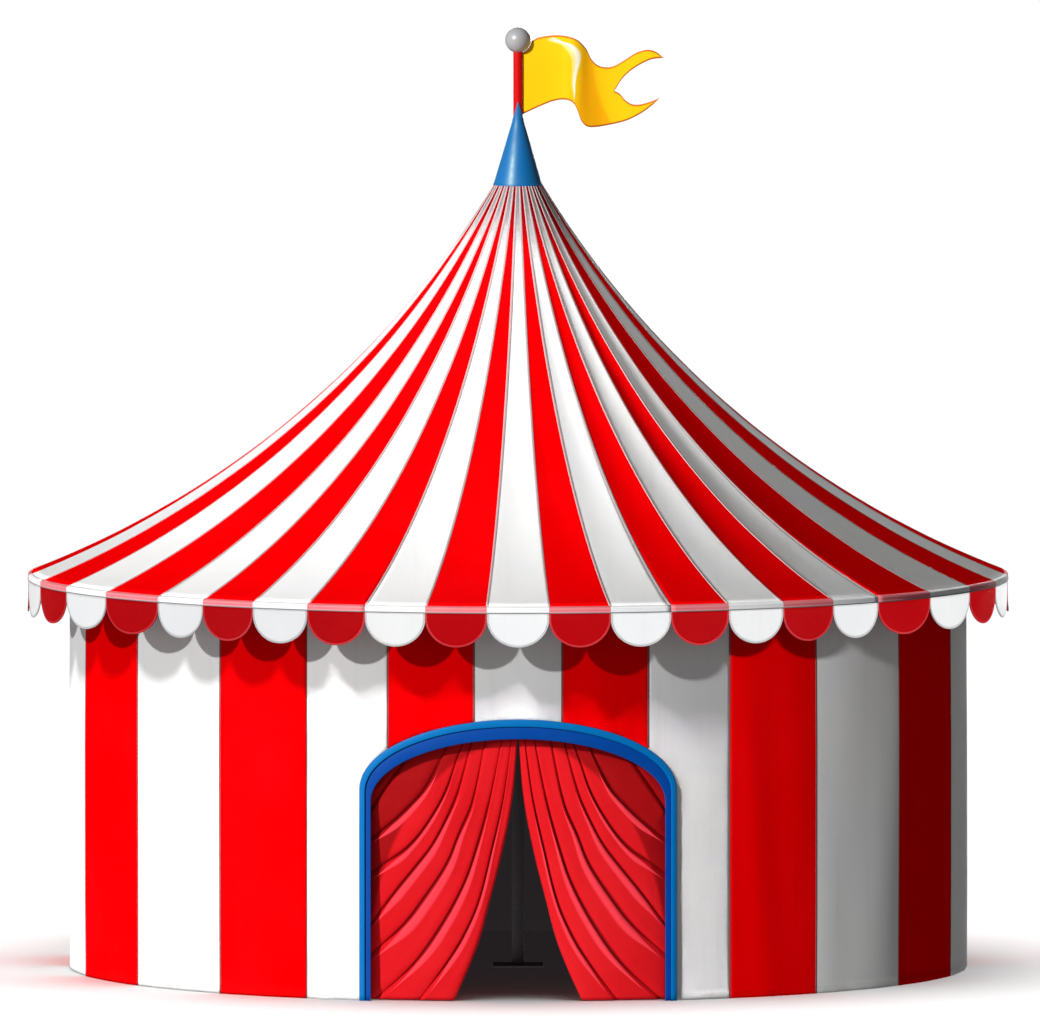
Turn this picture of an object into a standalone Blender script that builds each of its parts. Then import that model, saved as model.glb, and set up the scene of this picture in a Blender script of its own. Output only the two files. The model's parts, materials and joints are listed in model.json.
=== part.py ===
"""Circus big top: a round marquee with a curved canopy, a scalloped valance and an arched doorway.

Metres, +Z up. The origin is on the ground under the king pole. The doorway faces -Y.
Plan angles are in degrees, counted from the doorway and positive towards +X.
"""
import math

import bmesh
import bpy
from mathutils import Matrix, Vector

# Driving dimensions
GAP = 0.0003
EAVE_RADIUS = 4.91
EAVE_Z = 3.95
ROOF_ARC_RADIUS = 9.42
CANOPY_THICKNESS = 0.012
CANOPY_END_RADIUS = 0.16
HEM_HEIGHT = 0.055
HEM_WIDTH = 0.055
SCALLOP_BOTTOM_Z = 3.56
SCALLOP_SIDE = 0.05
VALANCE_THICKNESS = 0.015
WALL_RADIUS = 4.49
WALL_THICKNESS = 0.015
CAP_RADIUS = 0.25
CAP_FOOT_Z = 7.84
CAP_TIP_Z = 8.68
CAP_WALL = 0.007
COLLAR_RADIUS = 0.058
MAST_RADIUS = 0.048
BALL_Z = 9.30
BALL_RADIUS = 0.13
KING_POLE_RADIUS = 0.06
HUB_BOTTOM_Z = 7.80
HUB_TOP_RADIUS = 0.12

# Gores and stripes round the plan, with their widths in degrees; the front ones are narrower
FRONT_GORES = 13
FRONT_GORE = 7.2
OTHER_GORES = 27
OTHER_GORE = (360 - FRONT_GORES * FRONT_GORE) / OTHER_GORES
DOOR_PANEL_STRIPES = 5
DOOR_PANEL_ANGLE = 55.8
DOOR_STRIPE = DOOR_PANEL_ANGLE / DOOR_PANEL_STRIPES
NEAR_STRIPE = 13.3
OTHER_STRIPES = 17
OTHER_STRIPE = (360 - DOOR_PANEL_ANGLE - 2 * NEAR_STRIPE) / OTHER_STRIPES
SIDE_POLES = 8

# Facets of the curved pieces
SCALLOP_COLUMNS = 8
GORE_FACETS = 2
DOOR_FACET = DOOR_STRIPE / 6
WALL_FACET = OTHER_STRIPE / 8
ROOF_ARC_STEPS = 10
TURNED_STEPS = 50

# Rings and poles inside the walls
WALL_RING_WIDTH = 0.08
WALL_RING_HEIGHT = 0.06
EAVE_RING_WIDTH = 0.05
EAVE_RING_HEIGHT = 0.04
SIDE_POLE_RADIUS = 0.03
SIDE_POLE_CIRCLE = 4.41
SIDE_POLE_FOOT_RADIUS = 0.058
SIDE_POLE_FOOT_HEIGHT = 0.012
BASE_PLATE_SIZE = 0.50
BASE_PLATE_HEIGHT = 0.02

# Doorway arches: half width, height where the arch springs, height of its top
CASING_OUTER = (1.575, 2.10, 2.815)
CASING_INNER = (1.520, 2.08, 2.745)
LINING_OUTER = (1.540, 2.09, 2.765)
LINING_INNER = (1.460, 1.98, 2.620)
WALL_CUT = (LINING_OUTER[0] + GAP, LINING_OUTER[1], LINING_OUTER[2] + GAP)
CASING_DEPTH = 0.045
LINING_BACK_RADIUS = 4.41
LINING_FRONT_RADIUS = 4.515
ARCH_STEPS = 25

# Curtains, seen from the front
CURTAIN_DEPTH = 0.08
CURTAIN_OUTER = (1.500, 2.00, 2.660)
CURTAIN_HEM_Z = 0.01
CURTAIN_TOP_GAP = 0.004
CURTAIN_OPENING = 0.63
CURTAIN_SWEEP = 1.4

# Flag: the edges' points are distance from the mast's axis and height, the waves' are distance and depth
FLAG_HOIST_X = MAST_RADIUS + GAP
FLAG_NOTCH = (0.964, 8.787)
FLAG_CENTRE_SHARE = 0.568
FLAG_LOW_Z = 8.43
FLAG_HIGH_Z = 9.35
FLAG_BALL_CLEARANCE = 0.006
FLAG_THICKNESS = 0.012
FLAG_BODY_COLUMNS = 30
FLAG_TAIL_COLUMNS = 8
FLAG_HALF_ROWS = 2
FLAG_TOP = ((0.135, 9.290), (0.208, 9.325), (0.379, 9.349), (0.500, 9.337), (0.598, 9.300),
            (0.683, 9.209), (0.732, 9.110), (0.793, 9.049), (0.879, 9.025), (0.964, 9.039),
            (1.086, 9.110), (1.183, 9.172), (1.293, 9.203), (1.379, 9.184), (1.458, 9.122))
FLAG_BOTTOM = ((0.048, 8.557), (0.269, 8.658), (0.366, 8.692), (0.476, 8.704), (0.561, 8.664),
               (0.604, 8.573), (0.629, 8.499), (0.683, 8.438), (0.757, 8.426), (0.879, 8.441),
               (1.013, 8.469), (1.122, 8.506), (1.244, 8.573), (1.342, 8.647), (1.421, 8.721))
FLAG_WAVE_HIGH = ((0.048, 0.0), (0.30, -0.012), (0.43, -0.030), (0.51, -0.053), (0.56, -0.060),
                  (0.62, -0.044), (0.70, 0.002), (0.76, 0.022), (0.82, 0.027), (0.92, 0.022),
                  (1.10, 0.0), (1.30, -0.024), (1.458, -0.034))
FLAG_WAVE_LOW = ((0.048, 0.0), (0.30, -0.020), (0.42, -0.040), (0.50, -0.056), (0.56, -0.060),
                 (0.64, -0.044), (0.74, -0.010), (0.84, 0.022), (0.92, 0.033), (1.02, 0.031),
                 (1.15, 0.012), (1.30, -0.010), (1.458, -0.027))
FLAG_UPPER_TAIL = (FLAG_NOTCH, (1.037, 8.903), (1.122, 8.988), (1.244, 9.067), (1.346, 9.110), (1.458, 9.122))
FLAG_LOWER_TAIL = (FLAG_NOTCH, (1.013, 8.763), (1.074, 8.695), (1.135, 8.658), (1.208, 8.652),
                   (1.305, 8.676), (1.421, 8.721))

# Sections round the plan: a canopy section's gores and their width, a wall section's whole width
CANOPY_SECTIONS = (("front", 5, FRONT_GORE), ("front_right", 4, FRONT_GORE), ("right", 5, OTHER_GORE),
                   ("rear_right", 6, OTHER_GORE), ("rear", 5, OTHER_GORE), ("rear_left", 6, OTHER_GORE),
                   ("left", 5, OTHER_GORE), ("front_left", 4, FRONT_GORE))
DOOR_PANEL_SECTIONS = (("beside_door_left", DOOR_STRIPE), ("over_door", 3 * DOOR_STRIPE),
                       ("beside_door_right", DOOR_STRIPE))
WALL_SECTIONS = (("front_right", NEAR_STRIPE + 3 * OTHER_STRIPE), ("rear_right", 4 * OTHER_STRIPE),
                 ("rear", 3 * OTHER_STRIPE), ("rear_left", 4 * OTHER_STRIPE),
                 ("front_left", 3 * OTHER_STRIPE + NEAR_STRIPE))

# Colours: linear red, green, blue, then roughness and metallic
RED_PVC = (0.85, 0.01, 0.01, 0.5, 0.0)
WHITE_PVC = (0.90, 0.90, 0.90, 0.5, 0.0)
BLUE_PAINT = (0.01, 0.14, 0.50, 0.35, 0.0)
RED_PAINT = (0.55, 0.01, 0.01, 0.35, 0.0)
YELLOW_CLOTH = (0.94, 0.62, 0.01, 0.8, 0.0)
GREY_STEEL = (0.45, 0.46, 0.47, 0.4, 1.0)
RED_CURTAIN = (0.65, 0.01, 0.02, 0.9, 0.0)


def clear_scene():
    for obj in list(bpy.data.objects):
        bpy.data.objects.remove(obj, do_unlink=True)


def make_collection(name):
    collection = bpy.data.collections.new(name)
    bpy.context.scene.collection.children.link(collection)
    return collection


def make_material(name, look):
    material = bpy.data.materials.new(name)
    material.use_nodes = True
    shader = material.node_tree.nodes["Principled BSDF"]
    shader.inputs["Base Color"].default_value = (*look[:3], 1.0)
    shader.inputs["Roughness"].default_value = look[3]
    shader.inputs["Metallic"].default_value = look[4]
    return material


clear_scene()
PARTS = make_collection("circus_big_top")
CUTTERS = make_collection("cutters")
MATERIALS = {
    "red_pvc": make_material("red_pvc", RED_PVC),
    "white_pvc": make_material("white_pvc", WHITE_PVC),
    "blue_paint": make_material("blue_paint", BLUE_PAINT),
    "red_paint": make_material("red_paint", RED_PAINT),
    "yellow_cloth": make_material("yellow_cloth", YELLOW_CLOTH),
    "grey_steel": make_material("grey_steel", GREY_STEEL),
    "red_curtain": make_material("red_curtain", RED_CURTAIN),
}


def add_part(name, mesh, material):
    obj = bpy.data.objects.new(name, mesh)
    PARTS.objects.link(obj)
    mesh.materials.append(MATERIALS[material])
    return obj


def hide_cutter(obj):
    """Make obj a guide that shapes other pieces and isn't a piece itself."""
    obj.hide_render = True
    obj.display_type = "WIRE"
    for collection in list(obj.users_collection):
        collection.objects.unlink(obj)
    CUTTERS.objects.link(obj)
    return obj


def add_boolean(obj, operation, other):
    modifier = obj.modifiers.new(operation.lower(), "BOOLEAN")
    modifier.operation = operation
    modifier.object = other


def plan_point(radius, angle, z):
    """The point at a plan angle in degrees from the doorway."""
    turn = math.radians(angle)
    return Vector((radius * math.sin(turn), -radius * math.cos(turn), z))


# Roof arc: it hangs between the eave and the foot of the cap, so its centre lies above it
def roof_arc_centre():
    eave = Vector((EAVE_RADIUS, EAVE_Z))
    crown = Vector((CAP_RADIUS, CAP_FOOT_Z))
    half = (crown - eave) / 2
    normal = Vector((half.y, -half.x)).normalized()
    return eave + half + normal * math.sqrt(ROOF_ARC_RADIUS ** 2 - half.length_squared)


ROOF_CENTRE = roof_arc_centre()


def arc_point(radius, offset=0.0):
    """The point (radius, height) on the roof arc, or on the arc that lies offset below it."""
    reach = ROOF_ARC_RADIUS + offset
    return radius, ROOF_CENTRE.y - math.sqrt(reach ** 2 - (radius - ROOF_CENTRE.x) ** 2)


def arc_points(start_radius, offset=0.0):
    """Points on the arc from the eave to the cap's foot, at even turns, and the end under the cap."""
    reach = ROOF_ARC_RADIUS + offset
    start = math.acos((ROOF_CENTRE.x - start_radius) / reach)
    end = math.acos((ROOF_CENTRE.x - CAP_RADIUS) / reach)
    points = []
    for step in range(ROOF_ARC_STEPS + 1):
        turn = start + (end - start) * step / ROOF_ARC_STEPS
        points.append(arc_point(ROOF_CENTRE.x - reach * math.cos(turn), offset))
    return points + [arc_point(CANOPY_END_RADIUS, offset)]


def height_on(points, radius):
    """Height of a chain of straight runs at a plan radius."""
    for (r0, z0), (r1, z1) in zip(points, points[1:]):
        if min(r0, r1) <= radius <= max(r0, r1):
            return z0 + (z1 - z0) * (radius - r0) / (r1 - r0)
    raise ValueError("radius is off the profile")


ROOF_TOP = arc_points(EAVE_RADIUS)
ROOF_UNDERSIDE = arc_points(EAVE_RADIUS - HEM_WIDTH, CANOPY_THICKNESS)


# Shape makers
def swept_mesh(name, profile, start, *runs):
    """A closed profile of (radius, height) swept round +Z from a plan angle; a run is (turn, facets)."""
    bm = bmesh.new()
    corners = [bm.verts.new(plan_point(radius, start, z)) for radius, z in profile]
    edge = corners + [bm.edges.new(pair) for pair in zip(corners, corners[1:] + corners[:1])]
    for turn, facets in runs:
        swept = bmesh.ops.spin(bm, geom=edge, axis=(0, 0, 1), cent=(0, 0, 0),
                               angle=math.radians(turn), steps=facets)
        edge = swept["geom_last"]
    if sum(turn for turn, facets in runs) > 359.9:
        bmesh.ops.remove_doubles(bm, verts=bm.verts, dist=1e-4)
    else:
        rims = [edge for edge in bm.edges if edge.is_boundary]
        bmesh.ops.holes_fill(bm, edges=rims)
    bmesh.ops.recalc_face_normals(bm, faces=bm.faces)
    mesh = bpy.data.meshes.new(name)
    bm.to_mesh(mesh)
    bm.free()
    return mesh


def ring_profile(inner, outer, low, high):
    return [(inner, low), (outer, low), (outer, high), (inner, high)]


def turned_part(name, profile, material, steps=TURNED_STEPS):
    """A profile of (radius, height), outer side top to bottom, turned about +Z."""
    bm = bmesh.new()
    points = [bm.verts.new((radius, 0, z)) for radius, z in profile]
    for pair in zip(points, points[1:]):
        bm.edges.new(pair)
    if profile[0][0] > 0:
        bm.edges.new((points[-1], points[0]))
    mesh = bpy.data.meshes.new(name)
    bm.to_mesh(mesh)
    bm.free()
    obj = add_part(name, mesh, material)
    screw = obj.modifiers.new("turn", "SCREW")
    screw.steps = steps
    screw.render_steps = steps
    screw.use_merge_vertices = True
    screw.merge_threshold = 1e-5
    screw.use_smooth_shade = True
    return obj


def cylinder_part(name, radius, low, high, material, sides=24):
    bpy.ops.mesh.primitive_cylinder_add(vertices=sides, radius=radius, depth=high - low,
                                        location=(0, 0, (low + high) / 2))
    obj = bpy.context.object
    mesh = obj.data
    mesh.transform(obj.matrix_world)
    bpy.data.objects.remove(obj)
    mesh.shade_smooth()
    mesh.set_sharp_from_angle(angle=math.radians(40))
    return add_part(name, mesh, material)


def upright_prism(name, outline, near_y, far_y):
    """An outline of (x, height) extruded along Y, as a guide for cutting."""
    curve = bpy.data.curves.new(name, "CURVE")
    curve.dimensions = "2D"
    curve.fill_mode = "BOTH"
    curve.extrude = (far_y - near_y) / 2
    spline = curve.splines.new("POLY")
    spline.points.add(len(outline) - 1)
    for point, (x, z) in zip(spline.points, outline):
        point.co = (x, z, 0, 1)
    spline.use_cyclic_u = True
    holder = bpy.data.objects.new(name, curve)
    CUTTERS.objects.link(holder)
    upright = Matrix.Translation((0, (near_y + far_y) / 2, 0)) @ Matrix.Rotation(math.pi / 2, 4, "X")
    holder.matrix_world = upright
    bpy.context.view_layer.update()
    solid = bpy.data.meshes.new_from_object(holder.evaluated_get(bpy.context.evaluated_depsgraph_get()))
    bm = bmesh.new()
    bm.from_mesh(solid)
    bmesh.ops.remove_doubles(bm, verts=bm.verts, dist=1e-5)
    bmesh.ops.transform(bm, matrix=upright, verts=bm.verts)
    bmesh.ops.recalc_face_normals(bm, faces=bm.faces)
    bm.to_mesh(solid)
    bm.free()
    bpy.data.objects.remove(holder)
    obj = bpy.data.objects.new(name, solid)
    CUTTERS.objects.link(obj)
    return hide_cutter(obj)


def arch_outline(arch, foot_z=-0.1):
    """Straight jambs up to the springing, then half an ellipse, from the right foot round to the left."""
    half_width, spring_z, top_z = arch
    points = [(half_width, foot_z)]
    for step in range(ARCH_STEPS + 1):
        turn = math.pi * step / ARCH_STEPS
        points.append((half_width * math.cos(turn), spring_z + (top_z - spring_z) * math.sin(turn)))
    points.append((-half_width, foot_z))
    return points


def arch_prism(name, arch):
    return upright_prism(name, arch_outline(arch), -EAVE_RADIUS, -2.0)


# Canopy and valance
def canopy_profile():
    hem_foot = EAVE_Z - HEM_HEIGHT
    hem = [(EAVE_RADIUS - HEM_WIDTH, hem_foot), (EAVE_RADIUS, hem_foot)]
    return hem + ROOF_TOP + ROOF_UNDERSIDE[::-1]


def first_canopy_edge():
    """The plan angle where the front section starts."""
    name, gores, gore = CANOPY_SECTIONS[0]
    return -gores * gore / 2


def build_canopy():
    start = first_canopy_edge()
    trim = math.degrees(GAP / EAVE_RADIUS)
    for name, gores, gore in CANOPY_SECTIONS:
        run = (gores * gore - 2 * trim, gores * GORE_FACETS)
        add_part(f"canopy_{name}", swept_mesh(f"canopy_{name}", canopy_profile(), start + trim, run), "red_pvc")
        start += gores * gore


def scallop_edge(share):
    """Height of the valance's lower edge at a share of one scallop's width: half an ellipse."""
    top = EAVE_Z - HEM_HEIGHT - SCALLOP_SIDE
    across = 2 * share - 1
    return top - (top - SCALLOP_BOTTOM_Z) * math.sqrt(max(0.0, 1 - across ** 2))


def valance_mesh(name, start, count, gore):
    """A strip wrapped round the eave, one column of faces at a time along each scallop."""
    bm = bmesh.new()
    columns = count * SCALLOP_COLUMNS
    bmesh.ops.create_grid(bm, x_segments=columns, y_segments=1, size=0.5)
    trim = math.degrees(GAP / EAVE_RADIUS)
    for vert in bm.verts:
        column = round((vert.co.x + 0.5) * columns)
        scallop = min(column // SCALLOP_COLUMNS, count - 1)
        share = (1 - math.cos(math.pi * (column - scallop * SCALLOP_COLUMNS) / SCALLOP_COLUMNS)) / 2
        angle = start + (scallop + share) * gore
        angle = min(max(angle, start + trim), start + count * gore - trim)
        z = EAVE_Z - HEM_HEIGHT - GAP if vert.co.y > 0 else scallop_edge(share)
        vert.co = plan_point(EAVE_RADIUS, angle, z)
    mesh = bpy.data.meshes.new(name)
    bm.to_mesh(mesh)
    bm.free()
    return mesh


def build_valance():
    start = first_canopy_edge()
    for name, scallops, gore in CANOPY_SECTIONS:
        obj = add_part(f"valance_{name}", valance_mesh(f"valance_{name}", start, scallops, gore), "red_pvc")
        shell = obj.modifiers.new("thickness", "SOLIDIFY")
        shell.thickness = VALANCE_THICKNESS
        shell.offset = -1
        start += scallops * gore


# Walls and doorway
def wall_top():
    """The walls stop just under the canopy, whose flat facets dip between their corners."""
    widest_facet = OTHER_GORE / GORE_FACETS
    reach = WALL_RADIUS / math.cos(math.radians(widest_facet / 2))
    return height_on(ROOF_UNDERSIDE, reach) - GAP


def build_wall(name, start, width, facet, low=0.0):
    """One sheet of the round wall, from a plan angle over a width in degrees."""
    trim = math.degrees(GAP / WALL_RADIUS)
    profile = ring_profile(WALL_RADIUS - WALL_THICKNESS, WALL_RADIUS, low, wall_top())
    mesh = swept_mesh(f"wall_{name}", profile, start + trim, (width - 2 * trim, round(width / facet)))
    return add_part(f"wall_{name}", mesh, "white_pvc")


def build_walls():
    doorway = arch_prism("doorway_cut", WALL_CUT)
    start = -DOOR_PANEL_ANGLE / 2
    for name, width in DOOR_PANEL_SECTIONS:
        low = WALL_CUT[1] if name == "over_door" else 0.0
        add_boolean(build_wall(name, start, width, DOOR_FACET, low), "DIFFERENCE", doorway)
        start += width
    for name, width in WALL_SECTIONS:
        build_wall(name, start, width, WALL_FACET)
        start += width


def frame_band(name, inner, outer, outside_arch, inside_arch):
    """One band of the door frame: a piece of the round wall's shell between two arches."""
    profile = ring_profile(inner, outer, 0.0, CASING_OUTER[2] + 0.1)
    run = (DOOR_PANEL_ANGLE, round(DOOR_PANEL_ANGLE / DOOR_FACET))
    obj = add_part(name, swept_mesh(name, profile, -DOOR_PANEL_ANGLE / 2, run), "blue_paint")
    add_boolean(obj, "INTERSECT", arch_prism(f"{name}_outline", outside_arch))
    add_boolean(obj, "DIFFERENCE", arch_prism(f"{name}_hole", inside_arch))
    return obj


def build_door_frame():
    casing_back = WALL_RADIUS + GAP
    frame = frame_band("door_frame", casing_back, casing_back + CASING_DEPTH, CASING_OUTER, CASING_INNER)
    lining = frame_band("door_lining", LINING_BACK_RADIUS, LINING_FRONT_RADIUS, LINING_OUTER, LINING_INNER)
    add_boolean(frame, "UNION", hide_cutter(lining))


def curtain_outline(side):
    """One curtain from the front: the swept opening edge, the hem, the jamb side and the arch."""
    half_width, spring_z, top_z = CURTAIN_OUTER
    steps = 12
    points = []
    for step in range(steps + 1):
        z = top_z - (top_z - CURTAIN_HEM_Z) * step / steps
        drop = max(0.0, LINING_INNER[2] - z) / (LINING_INNER[2] - CURTAIN_HEM_Z)
        points.append((side * (CURTAIN_TOP_GAP + CURTAIN_OPENING * drop ** CURTAIN_SWEEP), z))
    points.append((side * half_width, CURTAIN_HEM_Z))
    for step in range(steps):
        turn = math.pi / 2 * step / steps
        points.append((side * half_width * math.cos(turn), spring_z + (top_z - spring_z) * math.sin(turn)))
    return points


def build_curtains():
    outer = LINING_BACK_RADIUS - GAP
    reach = DOOR_PANEL_ANGLE / 2
    for name, side in (("curtain_right", 1), ("curtain_left", -1)):
        profile = ring_profile(outer - CURTAIN_DEPTH, outer, CURTAIN_HEM_Z, CURTAIN_OUTER[2])
        run = (reach, round(reach / DOOR_FACET))
        obj = add_part(name, swept_mesh(name, profile, min(0, side * reach), run), "red_curtain")
        outline = upright_prism(f"{name}_outline", curtain_outline(side), -EAVE_RADIUS, -2.0)
        add_boolean(obj, "INTERSECT", outline)


# Rings and poles
def hoop_mesh(name, profile):
    """A ring whose corners lie under the corners of the canopy's facets."""
    front = FRONT_GORES * FRONT_GORE
    return swept_mesh(name, profile, -front / 2, (front, FRONT_GORES * GORE_FACETS),
                      (360 - front, OTHER_GORES * GORE_FACETS))


def build_rings():
    ring_outer = (WALL_RADIUS - WALL_THICKNESS) * math.cos(math.radians(WALL_FACET / 2)) - GAP
    ring_top = height_on(ROOF_UNDERSIDE, ring_outer) - GAP
    ring_low = ring_top - WALL_RING_HEIGHT
    wall_ring = ring_profile(ring_outer - WALL_RING_WIDTH, ring_outer, ring_low, ring_top)
    add_part("wall_ring", hoop_mesh("wall_ring", wall_ring), "grey_steel")
    eave_outer = EAVE_RADIUS - VALANCE_THICKNESS - GAP
    eave_top = EAVE_Z - HEM_HEIGHT - GAP
    eave_ring = ring_profile(eave_outer - EAVE_RING_WIDTH, eave_outer, eave_top - EAVE_RING_HEIGHT, eave_top)
    add_part("eave_ring", hoop_mesh("eave_ring", eave_ring), "grey_steel")
    return ring_low


def build_side_poles(ring_low):
    top = ring_low - GAP
    profile = [(0, top), (SIDE_POLE_RADIUS, top), (SIDE_POLE_RADIUS, SIDE_POLE_FOOT_HEIGHT),
               (SIDE_POLE_FOOT_RADIUS, SIDE_POLE_FOOT_HEIGHT), (SIDE_POLE_FOOT_RADIUS, 0), (0, 0)]
    spacing = 360 / SIDE_POLES
    for number in range(SIDE_POLES):
        obj = turned_part(f"side_pole_{number + 1}", profile, "grey_steel", steps=16)
        obj.location = plan_point(SIDE_POLE_CIRCLE, spacing * (number + 0.5), 0)


def build_king_pole():
    bpy.ops.mesh.primitive_cube_add(size=1, location=(0, 0, BASE_PLATE_HEIGHT / 2))
    cube = bpy.context.object
    cube.scale = (BASE_PLATE_SIZE, BASE_PLATE_SIZE, BASE_PLATE_HEIGHT)
    bpy.context.view_layer.update()
    mesh = cube.data
    mesh.transform(cube.matrix_world)
    bpy.data.objects.remove(cube)
    add_part("king_pole_base", mesh, "grey_steel")
    cylinder_part("king_pole", KING_POLE_RADIUS, BASE_PLATE_HEIGHT + GAP, HUB_BOTTOM_Z - GAP, "grey_steel")


# Crown: hub, cap, mast, ball
def cap_radius(z):
    """Outer radius of the cap's cone."""
    return CAP_RADIUS * (CAP_TIP_Z - z) / (CAP_TIP_Z - CAP_FOOT_Z)


def cap_height(radius):
    """Height at which the cone has an outer radius."""
    return CAP_TIP_Z - radius * (CAP_TIP_Z - CAP_FOOT_Z) / CAP_RADIUS


def build_crown_hub():
    seat_radius = CANOPY_END_RADIUS - GAP
    seat_low = cap_height(seat_radius + CAP_WALL + GAP)
    seat_high = cap_height(HUB_TOP_RADIUS + CAP_WALL + GAP)
    profile = [(0, seat_high), (HUB_TOP_RADIUS, seat_high), (seat_radius, seat_low),
               (seat_radius, HUB_BOTTOM_Z), (0, HUB_BOTTOM_Z)]
    turned_part("crown_hub", profile, "grey_steel")
    return seat_high


def cap_foot():
    """Height where the cone's inner edge meets the canopy, closing in on it in a few rounds."""
    foot = CAP_FOOT_Z
    for _ in range(20):
        rim_inner = (cap_radius(foot) - CAP_WALL) * math.cos(math.pi / TURNED_STEPS)
        foot = height_on(ROOF_TOP, rim_inner) + GAP
    return foot


def build_cap():
    """A thin cone that sits on the canopy and the hub, with a pointed collar tongue up the mast."""
    bore = MAST_RADIUS + GAP
    foot = cap_foot()
    profile = [(bore, CAP_TIP_Z), (COLLAR_RADIUS, CAP_TIP_Z), (COLLAR_RADIUS, cap_height(COLLAR_RADIUS)),
               (cap_radius(foot), foot), (cap_radius(foot) - CAP_WALL, foot),
               (bore, cap_height(bore + CAP_WALL))]
    cap = turned_part("cap_cone", profile, "blue_paint")
    margin = 0.003
    low = CAP_FOOT_Z - 0.2
    outline = [(-cap_radius(low) - margin, low), (cap_radius(low) + margin, low),
               (margin, CAP_TIP_Z), (margin, CAP_TIP_Z + 0.01), (-margin, CAP_TIP_Z + 0.01), (-margin, CAP_TIP_Z)]
    add_boolean(cap, "INTERSECT", upright_prism("cap_outline", outline, -1, 1))


def build_mast(hub_top):
    flat = math.sqrt(BALL_RADIUS ** 2 - MAST_RADIUS ** 2)
    cylinder_part("flag_mast", MAST_RADIUS, hub_top + GAP, BALL_Z - flat - GAP, "red_paint")
    steps = 9
    turn_end = math.pi - math.asin(MAST_RADIUS / BALL_RADIUS)
    profile = []
    for step in range(steps + 1):
        turn = turn_end * step / steps
        profile.append((BALL_RADIUS * math.sin(turn), BALL_Z + BALL_RADIUS * math.cos(turn)))
    profile[0] = (0, BALL_Z + BALL_RADIUS)
    profile.append((0, BALL_Z - flat))
    turned_part("ball_finial", profile, "grey_steel", steps=24)


# Flag
def smooth_curve(points, x):
    """A smooth curve through points of (x, value)."""
    x = min(max(x, points[0][0]), points[-1][0])
    slopes = []
    for i in range(len(points)):
        before = points[max(i - 1, 0)]
        after = points[min(i + 1, len(points) - 1)]
        slopes.append((after[1] - before[1]) / (after[0] - before[0]))
    i = max(k for k in range(len(points) - 1) if points[k][0] <= x)
    (x0, z0), (x1, z1) = points[i], points[i + 1]
    run = x1 - x0
    t = (x - x0) / run
    return (z0 * (2 * t ** 3 - 3 * t ** 2 + 1) + z1 * (3 * t ** 2 - 2 * t ** 3)
            + slopes[i] * run * (t ** 3 - 2 * t ** 2 + t) + slopes[i + 1] * run * (t ** 3 - t ** 2))


def flag_top_height(x):
    """The upper edge, which is cut round under the ball so that the cloth passes it."""
    clear = BALL_RADIUS + FLAG_BALL_CLEARANCE
    if x < clear:
        return min(BALL_Z - math.sqrt(clear ** 2 - x ** 2), FLAG_TOP[0][1])
    return smooth_curve(FLAG_TOP, x)


def flag_centre_height(x):
    """The line from the hoist to the notch."""
    low = smooth_curve(FLAG_BOTTOM, x)
    return low + (flag_top_height(x) - low) * FLAG_CENTRE_SHARE


def flag_depth(x, z):
    """The cloth swells towards -Y, folds back sharply and comes forward again at the tails."""
    rise = (z - FLAG_LOW_Z) / (FLAG_HIGH_Z - FLAG_LOW_Z)
    low = smooth_curve(FLAG_WAVE_LOW, x)
    return low + (smooth_curve(FLAG_WAVE_HIGH, x) - low) * rise


def flag_point(x, share, upper):
    """A point of the flag's upper or lower half, a share of the way up that half."""
    if upper:
        low = smooth_curve(FLAG_UPPER_TAIL, x) if x > FLAG_NOTCH[0] else flag_centre_height(x)
        high = flag_top_height(x)
    else:
        low = smooth_curve(FLAG_BOTTOM, x)
        high = smooth_curve(FLAG_LOWER_TAIL, x) if x > FLAG_NOTCH[0] else flag_centre_height(x)
    z = low + (high - low) * share
    return Vector((x, flag_depth(x, z), z))


def flag_column_x(column, tip_x):
    """Even columns up to the notch, then even columns along the tail."""
    if column <= FLAG_BODY_COLUMNS:
        return FLAG_HOIST_X + (FLAG_NOTCH[0] - FLAG_HOIST_X) * column / FLAG_BODY_COLUMNS
    return FLAG_NOTCH[0] + (tip_x - FLAG_NOTCH[0]) * (column - FLAG_BODY_COLUMNS) / FLAG_TAIL_COLUMNS


def build_flag():
    """Two strips of cloth that share the line from the hoist to the notch."""
    bm = bmesh.new()
    columns = FLAG_BODY_COLUMNS + FLAG_TAIL_COLUMNS
    for upper, tip_x in ((True, FLAG_TOP[-1][0]), (False, FLAG_BOTTOM[-1][0])):
        made = bmesh.ops.create_grid(bm, x_segments=columns, y_segments=FLAG_HALF_ROWS, size=0.5)
        for vert in made["verts"]:
            x = flag_column_x(round((vert.co.x + 0.5) * columns), tip_x)
            vert.co = flag_point(x, vert.co.y + 0.5, upper)
    bmesh.ops.remove_doubles(bm, verts=bm.verts, dist=1e-5)
    mesh = bpy.data.meshes.new("flag")
    bm.to_mesh(mesh)
    bm.free()
    obj = add_part("flag", mesh, "yellow_cloth")
    shell = obj.modifiers.new("thickness", "SOLIDIFY")
    shell.thickness = FLAG_THICKNESS
    shell.offset = 0
    mesh.shade_smooth()


build_canopy()
build_valance()
build_walls()
build_door_frame()
build_curtains()
build_side_poles(build_rings())
build_king_pole()
build_cap()
build_mast(build_crown_hub())
build_flag()
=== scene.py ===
import json
import math

import bmesh
import bpy
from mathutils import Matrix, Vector, noise

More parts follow.
